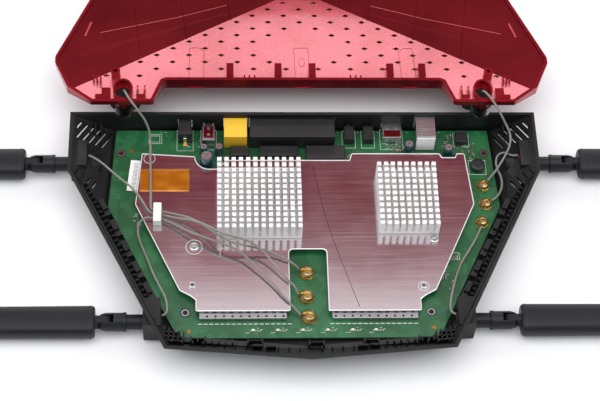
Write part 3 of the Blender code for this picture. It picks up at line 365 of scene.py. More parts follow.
def dress(node, materials, round_mm=0.0, choose=None, segments=2, sharp=SHARP):
    """A merged, rounded copy of a CAD solid that stands for it and rides on its body."""
    bm = bmesh.new()
    bm.from_mesh(NODES[node].data)
    bmesh.ops.remove_doubles(bm, verts=bm.verts, dist=MERGE)
    bmesh.ops.dissolve_limit(bm, angle_limit=FLAT_ENOUGH, verts=bm.verts, edges=bm.edges)
    if choose:
        for face in bm.faces:
            face.material_index = choose(face)
    mesh = bpy.data.meshes.new(node + "_finished")
    bm.to_mesh(mesh)
    bm.free()
    for material in materials if isinstance(materials, list) else [materials]:
        mesh.materials.append(material)
    mesh.shade_smooth()
    mesh.set_sharp_from_angle(angle=sharp)
    obj = new_piece(node + "_finished", mesh)
    if round_mm:
        edge = obj.modifiers.new("rounded_edges", "BEVEL")
        edge.width = round_mm * MM
        edge.segments = segments
        edge.limit_method = "ANGLE"
        edge.angle_limit = SHARP
        edge.use_clamp_overlap = True
        edge.harden_normals = True
        keep_modifiers_result(obj)
    place_on(obj, BODY[node])
    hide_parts(node)
    return obj


# %% Which body each solid rides on
BODY = {}
for body, body_nodes in frame["record"]["behaviour"]["bodies"].items():
    BODY.update({node: body for node in body_nodes})
CAPACITORS = [node for node in NODES if node.startswith("capacitor_")]
TERMINALS = [node for node in NODES if node.startswith("terminal_")]
print("bodies:", sorted(set(BODY.values())))

# %% [markdown]
# ## The tray, feet and antennas
# One moulding each. The tray gets a small radius. The antenna blades are soft to the
# touch, and each has a collar with a fine line where it starts.

# %% Tray, feet, knuckles and paddles
TRAY_ANTENNAS = ("left_rear", "right_rear", "left_front", "right_front")
ANTENNAS = TRAY_ANTENNAS + ("cover_left", "cover_right")
dress("base_tray", BLACK_ABS, 0.25, segments=1)
for end in ("rear", "front"):
    for side in ("left", "right"):
        dress("foot_%s_%s" % (end, side), FOOT_RUBBER, 0.4)
for name in ANTENNAS:
    dress("knuckle_" + name, ANTENNA_ABS, 0.2)
    dress("paddle_" + name, ANTENNA_ABS, 0.35)
print("tray and", len(ANTENNAS), "antennas dressed")

# %% [markdown]
# ## The lid
# The lid is one shell in one paint, but its inner panel and its side facets look like two
# colours because of the light; the panel is painted lit and the facets painted in shade.
# Each face of the shell is sorted by the way it faces: up and towards the rear is the panel.

# %% Lid with its painted lit and shaded reds
STEEP, LEVEL, TILTED = 0.5, 0.995, 0.18      # limits for the parts of a face's normal


def lid_face_painted_light_or_shade(face):
    """0 for the panel, painted lit, 1 for the side facets, painted in shade, 2 for the rim,
    the walls and the outside.
    """
    if face.normal.z < STEEP or face.normal.z > LEVEL:
        return 2
    return 1 if abs(face.normal.x) > TILTED or face.normal.y < -TILTED else 0


# Painted light and shade: each face gets the lit panel red or the shaded facet red by the way it
# faces.
lid = dress("top_cover", [RED_PANEL_PAINTED_LIGHT, RED_DEEP_AND_FACET_SHADE, RED_RIM], 0.0, lid_face_painted_light_or_shade,
            sharp=radians(8))
print("lid faces:", len(lid.data.polygons))

# %% [markdown]
# ## The board and its sockets
# The board is a plain plate with four holes. The sockets are boxes with their real
# openings, so they only need their finish and a small radius.

# %% Board, sockets and small parts
STEEL_PARTS = {"usb_port": 0.3, "usb_port_stacked": 0.3, "power_switch": 0.3}
DARK_PARTS = {
    "lan_jack_block": 0.3, "dc_jack": 0.4, "magnetics_wan": 0.2, "magnetics_left": 0.2,
    "magnetics_right": 0.2, "inductor_rear": 0.4, "inductor_round": 0.2, "wps_switch": 0.3,
    "reset_switch": 0.3, "wps_button": 0.15, "reset_button": 0.15, "power_button": 0.2,
}
dress("circuit_board", GREEN_MASK, 0.12, segments=1)
dress("wan_jack", YELLOW_NYLON, 0.35)
dress("cable_clip", WHITE_NYLON, 0.6, segments=3)
for node, radius in STEEL_PARTS.items():
    dress(node, CAN_STEEL, radius)
for node, radius in DARK_PARTS.items():
    dress(node, DARK_NYLON, radius)
print("board parts dressed:", 3 + len(STEEL_PARTS) + len(DARK_PARTS))

# %% [markdown]
# ## The plate and the heatsinks
# The plate is stamped, so its rim is rolled over; its shine is painted highlight, a bright
# line laid along it further down. The sinks' pins are square and sawn, with only a trace of a
# radius.

# %% Plate, can, sinks and screws
dress("heat_plate", PLATE_METAL_WITH_PAINTED_TINT, 0.5, segments=3)
dress("shield_can", CAN_STEEL, 0.25)
for node in ("heatsink_large", "heatsink_small"):
    dress(node, PALE_METAL_AND_PAINTED_SHEEN, 0.18, segments=1)
for node in ("heatsink_screw_rear", "heatsink_screw_front", "plate_screw"):
    dress(node, SCREW_STEEL, 0.12)
for node in TERMINALS:
    dress(node, AMBER_RESIN, 0.0)
for node in CAPACITORS:
    dress(node, TEAL_SLEEVE, 0.15)
print("plate and sinks dressed")

# %% [markdown]
# ## Pieces that repeat: one Geometry Nodes tree
# Dashes, ribs, solder joints and chip capacitors are all one small shape at many places.
# A tree takes a mesh whose points are the places, puts a block or a short
# cylinder on each, turns it by a stored angle, and makes the copies real. Working it out
# once here means each row further down is only a list of places and a size.

# %% How every tree starts and ends
def new_tree(name, inputs):
    """A Geometry Nodes tree with named inputs (name, kind, value), and what they give."""
    tree = bpy.data.node_groups.new(name, "GeometryNodeTree")
    for label, kind, value in (("Geometry", "Geometry", None), *inputs,
                               ("Finish", "Material", None)):
        socket = tree.interface.new_socket(
            name=label, in_out="INPUT", socket_type="NodeSocket" + kind)
        if value is not None:
            socket.default_value = value
    tree.interface.new_socket(
        name="Geometry", in_out="OUTPUT", socket_type="NodeSocketGeometry")
    return tree, add(tree, "NodeGroupInput").outputs


def close_tree(tree, geometry, finish):
    """The end of a tree: the copies are made real and get their material."""
    real = add(tree, "GeometryNodeRealizeInstances", {"Geometry": geometry})
    painted = add(tree, "GeometryNodeSetMaterial", {"Geometry": real, "Material": finish})
    add(tree, "NodeGroupOutput", {"Geometry": painted})
    return tree


print("the ends of a tree are ready")

# %% Shapes on points
def shape_on_points_tree(name, round_shape):
    """Blocks, or short cylinders, on every point, sized by named inputs."""
    tree, given = new_tree(name, (
        ("Width", "Float", 0.001), ("Depth", "Float", 0.001), ("Height", "Float", 0.001),
        ("Size spread", "Float", 0.0), ("Seed", "Int", 1)))
    if round_shape:
        unit = add(tree, "GeometryNodeMeshCylinder", {"Vertices": 14, "Radius": 0.5, "Depth": 1.0})
    else:
        unit = add(tree, "GeometryNodeMeshCube", {"Size": (1.0, 1.0, 1.0)})
    size = add(tree, "ShaderNodeCombineXYZ", {
        "X": given["Width"], "Y": given["Depth"], "Z": given["Height"]})
    low = add(tree, "ShaderNodeMath", {0: 1.0, 1: given["Size spread"]}, operation="SUBTRACT")
    vary = add(
        tree, "FunctionNodeRandomValue", {"Min": low, "Max": 1.0, "Seed": given["Seed"]},
        data_type="FLOAT").outputs["Value"]
    scaled = add(tree, "ShaderNodeVectorMath", {0: size, "Scale": vary}, operation="SCALE")
    angle = add(tree, "GeometryNodeInputNamedAttribute", {"Name": "turn"}, data_type="FLOAT_VECTOR")
    turned = add(tree, "FunctionNodeEulerToRotation", {"Euler": angle})
    placed = add(tree, "GeometryNodeInstanceOnPoints", {
        "Points": given["Geometry"], "Instance": unit, "Rotation": turned, "Scale": scaled})
    return close_tree(tree, placed, given["Finish"])


BLOCKS = shape_on_points_tree("blocks_on_points", False)
DISCS = shape_on_points_tree("discs_on_points", True)
print("trees:", len(bpy.data.node_groups))

# %% Rows of shapes
Y_SHIFT = -1.0                # from the tray's rear face to the model's own origin, in mm


def metres(x, y, z):
    """A place in mm from the tray's rear face, as one in the model's own metres."""
    return x * MM, (y + Y_SHIFT) * MM, z * MM


def grown(name, tree, mesh, values, round_mm=0.0):
    """The plain piece that a tree makes from a mesh, with those inputs."""
    obj = new_piece(name, mesh)
    maker = obj.modifiers.new("make", "NODES")
    maker.node_group = tree
    for socket in tree.interface.items_tree:
        if socket.in_out == "INPUT" and socket.name in values:
            maker[socket.identifier] = values[socket.name]
    if round_mm:
        edge = obj.modifiers.new("rounded_edges", "BEVEL")
        edge.width = round_mm * MM
        edge.segments = 2
    return keep_modifiers_result(obj)


def row_of(name, tree, places, size, material, body="tray", vary=0.0, round_mm=0.0):
    """Shapes at places in mm from the tray's rear face: (x, y, z), then if needed a turn
    about Z or one as three angles."""
    mesh = bpy.data.meshes.new(name)
    mesh.from_pydata([metres(*place[:3]) for place in places], [], [])
    turns = mesh.attributes.new("turn", "FLOAT_VECTOR", "POINT")
    for item, place in zip(turns.data, places):
        turn = place[3] if len(place) > 3 else 0.0
        item.vector = turn if isinstance(turn, tuple) else (0.0, 0.0, turn)
    values = {"Width": size[0] * MM, "Depth": size[1] * MM, "Height": size[2] * MM,
              "Size spread": vary, "Seed": len(places), "Finish": material}
    place_on(grown(name, tree, mesh, values, round_mm), body)


print("rows are laid from", Y_SHIFT, "mm")

# %% [markdown]
# ## Leads
# Each antenna has a thin coaxial lead, 1.5 mm across, that leaves its socket, passes the
# clip and ends in a soldered drop. The route is the CAD's own, repeated here in
# millimetres, and a Geometry Nodes tree resamples it, sweeps a round profile along it and
# closes the ends.

# %% The leads' routes
LEAD_D = 1.5
SWEEP_STEP = 1.2
ROUTES = {
    "lead_cover_left": [
        (-122.0, 11.6, 33.4), (-121.6, 10.4, 36.4), (-120.4, 6.4, 39.2), (-117.6, 1.0, 39.6),
        (-112.4, -5.0, 36.0), (-107.5, -9.5, 30.0), (-104.6, -14.0, 23.0), (-103.9, -20.0, 17.2),
        (-103.9, -28.0, 14.8), (-103.6, -38.0, 14.4), (-103.2, -48.0, 14.4), (-103.0, -58.0, 14.6),
        (-102.9, -66.0, 15.9), (-102.1, -71.3, 16.3), (-97.5, -72.9, 16.5), (-87.3, -76.4, 17.8),
        (-78.7, -79.5, 19.0), (-70.8, -84.9, 21.0), (-63.6, -91.8, 23.4), (-56.4, -97.9, 24.8),
        (-49.3, -101.5, 23.8), (-40.2, -102.8, 21.5), (-31.0, -104.0, 19.0), (-21.9, -106.3, 17.0),
        (-14.1, -109.8, 15.8), (-8.9, -112.9, 14.0), (-5.7, -114.1, 10.4)],
    "lead_left_rear": [
        (-145.1, -31.0, 19.4), (-141.0, -32.8, 18.8), (-135.0, -36.5, 17.0), (-129.5, -41.0, 15.2),
        (-123.0, -46.5, 13.8), (-117.0, -52.0, 14.0), (-111.8, -59.0, 14.6), (-107.6, -66.5, 15.6),
        (-104.6, -72.4, 16.2), (-100.6, -75.3, 16.4), (-96.0, -76.1, 16.5), (-85.9, -80.9, 20.2),
        (-76.6, -84.8, 24.0), (-68.7, -89.5, 27.2), (-60.9, -94.5, 28.6), (-53.2, -98.6, 28.4),
        (-44.1, -100.0, 26.2), (-37.0, -102.2, 24.2), (-30.5, -106.1, 21.8), (-24.7, -111.9, 19.6),
        (-18.9, -119.0, 17.6), (-13.8, -124.8, 15.9), (-9.0, -129.2, 13.8), (-6.5, -133.0, 10.4)],
    "lead_left_front": [
        (-93.8, -152.0, 17.4), (-91.4, -150.0, 17.3), (-91.0, -145.0, 16.6), (-92.4, -137.0, 14.6),
        (-96.6, -127.0, 12.2), (-100.6, -117.0, 10.4), (-104.5, -106.0, 9.8), (-108.4, -96.0, 9.9),
        (-110.8, -88.0, 11.2), (-110.4, -82.0, 14.3), (-106.8, -78.7, 16.0), (-101.4, -78.4, 16.5),
        (-96.0, -79.2, 16.5), (-87.2, -84.2, 18.0), (-77.9, -90.6, 19.6), (-69.4, -95.0, 20.6),
        (-61.0, -98.8, 21.2), (-53.2, -102.2, 21.2), (-46.7, -105.2, 20.4), (-40.9, -109.5, 19.4),
        (-34.4, -116.0, 18.2), (-27.4, -123.4, 16.9), (-21.7, -130.1, 16.1), (-16.0, -137.7, 15.3),
        (-10.3, -143.7, 13.4), (-5.6, -148.1, 10.4)],
    "lead_cover_right": [
        (122.4, 11.6, 33.4), (122.8, 10.4, 36.4), (124.4, 6.2, 39.2), (127.6, 0.8, 39.6),
        (132.4, -5.0, 34.8), (137.0, -10.0, 28.0), (140.6, -16.0, 23.0), (140.4, -22.0, 20.4),
        (138.0, -28.0, 19.0), (134.2, -34.0, 16.2), (129.6, -40.0, 13.0), (124.6, -45.2, 10.2)],
    "lead_right_rear": [
        (145.1, -31.0, 19.4), (141.2, -29.8, 17.6), (136.5, -26.4, 15.8), (132.8, -27.0, 13.6),
        (131.2, -31.0, 11.8), (131.8, -36.5, 10.6), (133.6, -42.0, 10.2), (134.0, -48.0, 10.1),
        (132.4, -54.0, 10.1), (129.6, -58.5, 10.1), (126.0, -61.5, 10.1)],
    "lead_right_front": [
        (93.8, -152.0, 17.4), (91.4, -150.0, 17.3), (91.0, -145.0, 16.6), (92.8, -136.0, 14.4),
        (95.6, -126.0, 11.6), (98.4, -117.5, 10.0), (102.0, -109.0, 9.8), (107.5, -100.0, 9.8),
        (112.5, -91.5, 9.9), (117.0, -82.1, 10.1)],
}


print("points in the routes:", sum(len(route) for route in ROUTES.values()))

# %% The tree that sweeps a tube
def sweep_tree():
    """A round tube along a line of points, with closed ends."""
    tree, given = new_tree("sweep_along_route", (
        ("Radius", "Float", 0.001), ("Step", "Float", 0.001), ("Sides", "Int", 12)))
    line = add(tree, "GeometryNodeMeshToCurve", {"Mesh": given["Geometry"]})
    even = add(
        tree, "GeometryNodeResampleCurve", {"Curve": line, "Length": given["Step"]}, mode="LENGTH")
    ring = add(tree, "GeometryNodeCurvePrimitiveCircle", {
        "Resolution": given["Sides"], "Radius": given["Radius"]})
    tube = add(tree, "GeometryNodeCurveToMesh", {
        "Curve": even, "Profile Curve": ring, "Fill Caps": True})
    smooth = add(tree, "GeometryNodeSetShadeSmooth", {"Geometry": tube})
    return close_tree(tree, smooth, given["Finish"])


SWEEP = sweep_tree()
print("inputs of the sweep:", len(SWEEP.interface.items_tree) - 1)

# %% The six leads
def smooth_route(points, parts=10):
    """A Catmull-Rom curve through the route's points, in mm."""
    posts = [Vector(p) for p in points]
    posts = [2 * posts[0] - posts[1]] + posts + [2 * posts[-1] - posts[-2]]
    result = []
    for a, b, c, d in zip(posts, posts[1:], posts[2:], posts[3:]):
        for i in range(parts):
            t = i / parts
            result.append(0.5 * (2 * b + (c - a) * t + (2 * a - 5 * b + 4 * c - d) * t * t
                                 + (3 * b - a - 3 * c + d) * t * t * t))
    result.append(posts[-2])
    return result


def swept(name, points, width_mm, material, sides=12):
    """A tube along points given in mm from the tray's rear face."""
    mesh = bpy.data.meshes.new(name)
    mesh.from_pydata([metres(*p) for p in points], [(i, i + 1) for i in range(len(points) - 1)], [])
    return grown(name, SWEEP, mesh, {
        "Radius": width_mm / 2 * MM, "Step": SWEEP_STEP * MM, "Sides": sides, "Finish": material})


TURN_TO = -12.5               # Y for the end of the lid leads' turn, in mm; the end worked out from it is not used
for name, route in ROUTES.items():
    lead = swept(name + "_jacket", smooth_route(route), LEAD_D, GREY_JACKET)
    if name.startswith("lead_cover"):
        top = route[2]
        end = (top[0] * MM, TURN_TO * MM, top[2] * MM)
        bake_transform(lead)
    else:
        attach(lead, "tray")
    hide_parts(name)
print("leads:", len(ROUTES))

# %% [markdown]
# ## Inside the tray
# The real tray is stiffened by what is moulded into it: short ribs along the front wall,
# open boxes for the lid's clips, a grid of pockets at the front corners and steps down
# the slanted sides. They stand on the inside of the sloping hull, so each is placed
# between the board's edge and the rim.

# %% Ribs, clip boxes, pockets and side steps
HULL = {                      # each wall's line along the rim, and along the floor
    "front": (((92.0, -180.0), (0.0, -188.0)), ((86.5, -166.0), (0.0, -168.5))),
    "side": (((158.0, -47.0), (92.0, -180.0)), ((134.0, -65.0), (86.5, -166.0))),
}
HULL_Z = (2.0, 26.0)
HULL_WALL = 2.2
SUNK = 0.5                    # how deep a piece's back stands in the wall
CLIP_BOX_X = (-71.0, -35.0, 4.0, 39.0, 74.0)
CLIP_PAD_X = (-33.5, -25.0, 33.0, 41.0)


def between(a, b, share):
    """The place at that share of the way from a to b."""
    return tuple(p + (q - p) * share for p, q in zip(a, b))


def both_sides(places):
    """Places on the right, with their mirror images on the left."""
    result = []
    for x, y, z, *turn in places:
        angle = turn[0] if turn else 0.0
        result += [(x, y, z, angle), (-x, y, z, -angle)]
    return result


def on_hull(wall, share, z, height, depth):
    """A place against the inside of a sloping wall, for a piece that far up, with its turn."""
    rim, floor = HULL[wall]
    up = (z - height / 2 - HULL_Z[0]) / (HULL_Z[1] - HULL_Z[0])
    x, y = between(between(*floor, share), between(*rim, share), up)
    along = Vector(rim[1]) - Vector(rim[0])
    inward = Vector((along.y, -along.x)).normalized()
    reach = HULL_WALL + depth / 2 - SUNK
    return (x + inward.x * reach, y + inward.y * reach, z, atan2(along.y, along.x) + pi)


def front_wall_y(x, z, height, depth):
    """How far forward a piece against the front wall stands at x."""
    return on_hull("front", 1.0 - abs(x) / HULL["front"][0][0][0], z, height, depth)[1]


def hull_row(name, wall, shares, z, size, material, **how):
    """Mirrored blocks along one wall of the hull; the block's depth points inwards."""
    places = [on_hull(wall, share, z, size[2], size[1]) for share in shares]
    row_of(name, BLOCKS, both_sides(places), size, material, **how)


def steps(first, pitch, count):
    """Evenly spaced numbers."""
    return [first + pitch * i for i in range(count)]


hull_row("front_ribs", "front", steps(0.04, 0.05, 9), 13.0, (0.9, 2.6, 6.0), BLACK_ABS)
hull_row("front_rim_ribs", "front", steps(0.02, 0.075, 13), 19.0, (0.8, 1.8, 5.0), BLACK_ABS)
# Painted shade: a darker black strip along the front wall's step.
hull_row("front_step", "front", [0.5], 9.0, (84.0, 3.4, 1.6), SHADOW_PLASTIC)
for x in CLIP_BOX_X:
    y = front_wall_y(x, 13.5, 7.0, 3.4)
    tag = "%s%d" % ("left" if x < 0 else "right", abs(x))
    row_of("clip_box_walls_" + tag, BLOCKS, [(x - 4.6, y, 13.5), (x + 4.6, y, 13.5)],
           (1.0, 3.4, 7.0), BLACK_ABS)
    row_of("clip_box_back_" + tag, BLOCKS, [(x, y + 1.4, 12.4)], (10.2, 0.7, 4.8), BLACK_ABS)
pads = [(x, front_wall_y(x, 17.5, 5.0, 1.4), 17.5) for x in CLIP_PAD_X]
row_of("clip_pads", BLOCKS, pads, (6.4, 1.4, 5.0), ANTENNA_ABS, round_mm=0.2)

grid_x = [(80.5 + 3.0 * i, -168.6 + 1.1 * i, 16.0, 0.1) for i in range(5)]
grid_y = [(87.0 + 1.0 * i, -170.6 + 3.0 * i, 16.0, 0.1) for i in range(3)]
row_of("corner_grid_ribs", BLOCKS, both_sides(grid_x), (0.8, 8.0, 7.0), BLACK_ABS)
row_of("corner_grid_bars", BLOCKS, both_sides(grid_y), (13.5, 0.8, 7.0), BLACK_ABS)

hull_row("side_boxes", "side", [0.10, 0.24, 0.38, 0.52, 0.66, 0.78], 14.0, (8.0, 3.6, 6.4),
         BLACK_ABS, round_mm=0.3)
# Painted shade: darker black blocks inside the side boxes.
hull_row("side_box_lids", "side", [0.14, 0.28, 0.42, 0.56, 0.70], 12.5, (5.0, 4.0, 4.0),
         SHADOW_PLASTIC)
hull_row("side_teeth", "side", steps(0.03, 0.03, 28), 20.6, (0.8, 2.2, 5.0), BLACK_ABS)
hull_row("side_rail", "side", [0.46], 23.4, (112.0, 1.0, 1.4), BLACK_ABS)
rear_bars = [(x, -6.4, 14.0) for x in (137.5, 141.4, 145.3)]
row_of("rear_corner_bars", BLOCKS, both_sides(rear_bars), (1.0, 8.0, 6.0), BLACK_ABS)
row_of("socket_marker", DISCS, [(147.3, -31.8, 19.0)], (3.4, 3.4, 1.0), RED_DOT)
print("tray details ready")

# %% [markdown]
# ## Small parts on the board
# Surface-mount resistors and capacitors are 1 to 2 mm blocks of ceramic with bright
# soldered ends, in loose clusters around the chips that they serve. The positions are
# drawn from a fixed seed on a grid, so they line up the way a placing machine puts them.

# %% Chip parts, chips and LEDs
BOARD_TOP = 8.0
CLUSTERS = (                   # centre x, centre y, half width, half depth, how many
    (104.5, -9.5, 7.5, 3.8, 12), (111.5, -20.5, 5.5, 7.5, 16), (99.0, -17.0, 3.0, 4.0, 6),
    (62.0, -16.5, 6.5, 5.0, 16), (-56.0, -27.0, 3.5, 2.0, 6), (-27.5, -24.0, 2.5, 3.5, 5),
    (30.5, -25.5, 1.6, 3.6, 5), (88.5, -117.0, 3.6, 5.0, 9), (94.0, -104.0, 5.2, 2.8, 8),
    (-111.5, -76.0, 3.0, 5.0, 6), (-75.0, -13.5, 5.0, 2.5, 6), (95.0, -124.5, 2.0, 4.0, 4),
)
PITCH_X, PITCH_Y = 2.3, 1.7
random.seed(11)
chip_parts = []
for cx, cy, half_w, half_d, count in CLUSTERS:
    cells = [(cx + PITCH_X * i, cy + PITCH_Y * j) for i in range(-4, 5) for j in range(-5, 6)
             if abs(PITCH_X * i) <= half_w and abs(PITCH_Y * j) <= half_d]
    random.shuffle(cells)
    for x, y in cells[:count]:
        chip_parts.append((x, y, BOARD_TOP + 0.35, random.choice((0.0, 0.0, pi / 2))))
row_of("chip_capacitors", BLOCKS, chip_parts[::2], (0.9, 0.8, 0.7), CERAMIC)
row_of("chip_resistors", BLOCKS, chip_parts[1::2], (0.9, 0.8, 0.5), CHIP_BLACK)
ends = [(p[0] + side * 0.6 * cos(p[3]), p[1] + side * 0.6 * sin(p[3]), p[2], p[3])
        for p in chip_parts for side in (-1, 1)]
row_of("chip_part_ends", BLOCKS, ends, (0.4, 0.95, 0.6), SOLDER)

CHIPS = ((107.0, -14.5, 4.4, 4.4), (62.0, -12.4, 4.0, 3.2), (104.6, -24.6, 3.6, 2.6),
         (-50.4, -27.4, 3.0, 3.0))
for index, (x, y, w, d) in enumerate(CHIPS):
    row_of("chip_%d" % index, BLOCKS, [(x, y, BOARD_TOP + 0.7)], (w, d, 1.1), CHIP_BLACK,
           round_mm=0.15)
legs = [(x + (i - 2) * w / 5.5, y + side * (d / 2 + 0.4), BOARD_TOP + 0.25)
        for x, y, w, d in CHIPS[:3] for i in range(5) for side in (-1, 1)]
row_of("chip_legs", BLOCKS, legs, (0.35, 0.9, 0.3), SOLDER)

LED_X = (-36.0, -20.0, -4.0, 12.0, 28.0, 43.0)
LED_Y = -158.0
for name, tree, up, size, material in (("led_bodies", BLOCKS, 0.4, (1.7, 1.3, 0.8), PAPER),
                                       ("led_lenses", DISCS, 0.75, (1.0, 1.0, 0.5), LED_LENS)):
    row_of(name, tree, [(x, LED_Y, BOARD_TOP + up) for x in LED_X], size, material)
pads = [(x + dx, LED_Y - 0.3, BOARD_TOP + 0.12) for x in LED_X for dx in (-1.5, 1.5, 3.0, 4.6)]
row_of("led_solder", BLOCKS, pads, (0.7, 1.1, 0.25), SOLDER)
fiducials = [(x, y, BOARD_TOP + 0.05) for x, y in (
    (-77.0, -158.6), (80.6, -156.4), (-116.5, -20.0))]
row_of("round_pads", DISCS, fiducials, (2.6, 2.6, 0.12), COPPER)
print("board parts:", len(chip_parts), "chips:", len(CHIPS))

# %% [markdown]
# ## Screen print, stickers and plated holes
# White ink marks where parts go: outlines, ticks and a row of dashes in front of the
# plate. It is drawn as very thin real strips, 0.03 mm above the board, so that it stays
# sharp close up. All marks are plain shapes, and both stickers are blank but for bars.

# %% Ink, stickers and tape
INK_Z = BOARD_TOP + 0.04
INK_T = 0.05
INK_LINE = 0.22
OUTLINES = (                   # centre x, centre y, width, depth
    (-64.7, -11.0, 10.5, 16.0), (-80.7, -11.5, 11.0, 16.5), (31.5, -10.5, 9.0, 14.0),
    (44.6, -10.5, 9.0, 14.0), (109.0, -11.0, 10.5, 10.5), (118.5, -33.5, 11.5, 11.5),
    (60.8, -10.5, 15.5, 16.5), (-101.0, -10.0, 8.6, 7.6), (-101.0, -10.0, 6.0, 5.0),
    (94.6, -103.6, 12.5, 5.2), (84.6, -88.6, 6.0, 2.2),
)

for way in ("across", "along"):
    strips = []                # each strip's place, and its length
    for x, y, w, d in OUTLINES:
        if way == "across":
            strips += [((x, y - d / 2, INK_Z), w), ((x, y + d / 2, INK_Z), w)]
        else:
            strips += [((x - w / 2, y, INK_Z), d), ((x + w / 2, y, INK_Z), d)]
    for length in sorted({length for _, length in strips}):
        places = [place for place, own in strips if own == length]
        size = (length, INK_LINE, INK_T) if way == "across" else (INK_LINE, length, INK_T)
        row_of("ink_%s_%d" % (way, round(length * 10)), BLOCKS, places, size, WHITE_INK)
dashes = [(x, -153.4, INK_Z) for x in steps(-70.0, 3.6, 17) + steps(15.0, 3.6, 16)]
row_of("ink_dashes", BLOCKS, dashes, (2.6, 0.45, INK_T), WHITE_INK)
random.seed(5)
ticks = []
for cx, cy, half_w, half_d, count in CLUSTERS:
    for _ in range(count):
        x = cx + random.uniform(-half_w, half_w) * 1.15
        y = cy + random.uniform(-half_d, half_d) * 1.15
        ticks.append((x, y, INK_Z, random.choice((0.0, pi / 2))))
ticks += [(x + dx, LED_Y + dy, INK_Z) for x in LED_X
          for dx, dy in ((-4.0, -1.8), (-2.6, -1.8), (3.2, 1.6), (5.6, 0.6))]
ticks += [(x, -4.6, INK_Z) for x in (-97.0, -94.0, 24.0, 38.0, 52.0, 72.0, 94.0)]
row_of("ink_ticks", BLOCKS, ticks, (1.1, 0.24, INK_T), WHITE_INK)

STICKER_X, STICKER_Y, STICKER_TURN = -115.1, -39.8, radians(-5.5)
row_of("board_sticker", BLOCKS, [(STICKER_X, STICKER_Y, BOARD_TOP + 0.08, STICKER_TURN)],
       (6.6, 24.5, 0.1), PAPER)
bars = [(STICKER_X + 0.7 + 0.1 * i, STICKER_Y + 1.05 * i, BOARD_TOP + 0.15, STICKER_TURN)
        for i in range(-9, 10)]
row_of("board_sticker_bars", BLOCKS, bars, (3.6, 0.5, 0.04), PAPER_BAR, vary=0.35)

PLATE_TOP = 13.2
TAPE_X, TAPE_Y = (-110.6, 33.2), (-56.2, 18.4)   # start and length each way
COLUMNS, ROWS = 22, 13
CREASE = 0.10                 # how far the film lies off the plate, and how far it swells
rng = random.Random(3)
verts, faces = [], []
for j in range(ROWS + 1):
    for i in range(COLUMNS + 1):
        swell = max(0.0, sin(i * 0.55 + 1.2) * sin(j * 0.5 + 0.6))
        lift = CREASE + CREASE * swell + rng.uniform(0, 0.02)
        verts.append(metres(TAPE_X[0] + TAPE_X[1] * i / COLUMNS,
                            TAPE_Y[0] + TAPE_Y[1] * j / ROWS, PLATE_TOP + lift))
        if i < COLUMNS and j < ROWS:
            a = j * (COLUMNS + 1) + i
            faces.append((a, a + 1, a + COLUMNS + 2, a + COLUMNS + 1))
tape = piece_of("polyimide_tape", verts, faces, POLYIMIDE)
tape.data.shade_smooth()
tape.modifiers.new("thickness", "SOLIDIFY").thickness = 0.06 * MM
place_on(keep_modifiers_result(tape), "tray")
print("ink, stickers and tape ready")

# %% [markdown]
# ## Finer pieces of metal and resin
# - Each can's top is scored with a cross, so that it can vent, and shows bare aluminium.
# - The soldered ends are gold coloured lugs under the clear resin, lying at a slant.
# - The plate's front flange has a row of small holes, and rings are pressed round two of
#   its screws, their bends drawn as bright lines of painted highlight. A long scratch crosses it.
# - The sockets have gold contacts, and the power inlet has its lug.

# %% Capacitor tops, soldered lugs and plated holes
def node_middle(node):
    """Middle in X and Y, the top and the radius, in mm from the tray's rear face."""
    low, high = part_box(node)
    x, y = (low.x + high.x) / 2 / MM, (low.y + high.y) / 2 / MM - Y_SHIFT
    return x, y, high.z / MM, (high.x - low.x) / 2 / MM


for node in CAPACITORS:
    x, y, top, radius = node_middle(node)
    row_of(node + "_top", DISCS, [(x, y, top - 0.02)], (radius * 1.55, radius * 1.55, 0.25), SOLDER)
    cross = [(x, y, top + 0.11, pi / 4), (x, y, top + 0.11, -pi / 4)]
    row_of(node + "_score", BLOCKS, cross, (radius * 1.1, 0.3, 0.06), HOLE_DARK)
LUG_ANGLES = {"centre": radians(-25), "right": radians(48)}
for node in TERMINALS:
    x, y, top, radius = node_middle(node)
    angle = LUG_ANGLES["centre" if "centre" in node else "right"]
    lug = [(x - 0.6, y + 0.5, BOARD_TOP + 1.9, (pi / 2, 0.0, angle + pi / 2))]
    blob = [(x + 0.7, y - 0.6, BOARD_TOP + 1.3)]
    row_of(node + "_pad", DISCS, [(x, y, BOARD_TOP + 0.36)], (radius * 0.9, radius * 0.9, 0.1),
           SOLDER)
    row_of(node + "_lug", DISCS, lug, (2.6, 2.6, radius * 1.2), GOLD, round_mm=0.3)
    row_of(node + "_blob", DISCS, blob, (radius * 0.8, radius * 0.7, 1.3), SOLDER, round_mm=0.4)
PLATED = [(side * x, y) for x, y in ((124.0, -21.8), (79.5, -145.0)) for side in (-1, 1)]
for name, up, width, material in (
        ("plated_holes", 0.04, 6.6, CHIP_BLACK), ("plated_hole_rings", 0.07, 4.9, SOLDER),
        ("plated_hole_centres", 0.10, 3.7, HOLE_DARK)):
    row_of(name, DISCS, [(x, y, BOARD_TOP + up) for x, y in PLATED], (width, width, 0.1), material)
print("capacitors and lugs:", len(CAPACITORS), len(TERMINALS))

# %% Flange holes, pressed rings, scratch and plate screws
CAN_Z = 11.52
FLANGE_PITCH = 5.45


def flange_row(first, y, z):
    """Ten places to each side along the plate's front flange."""
    return [(side * (first + FLANGE_PITCH * i) + 0.4, y, z) for side in (-1, 1) for i in range(10)]


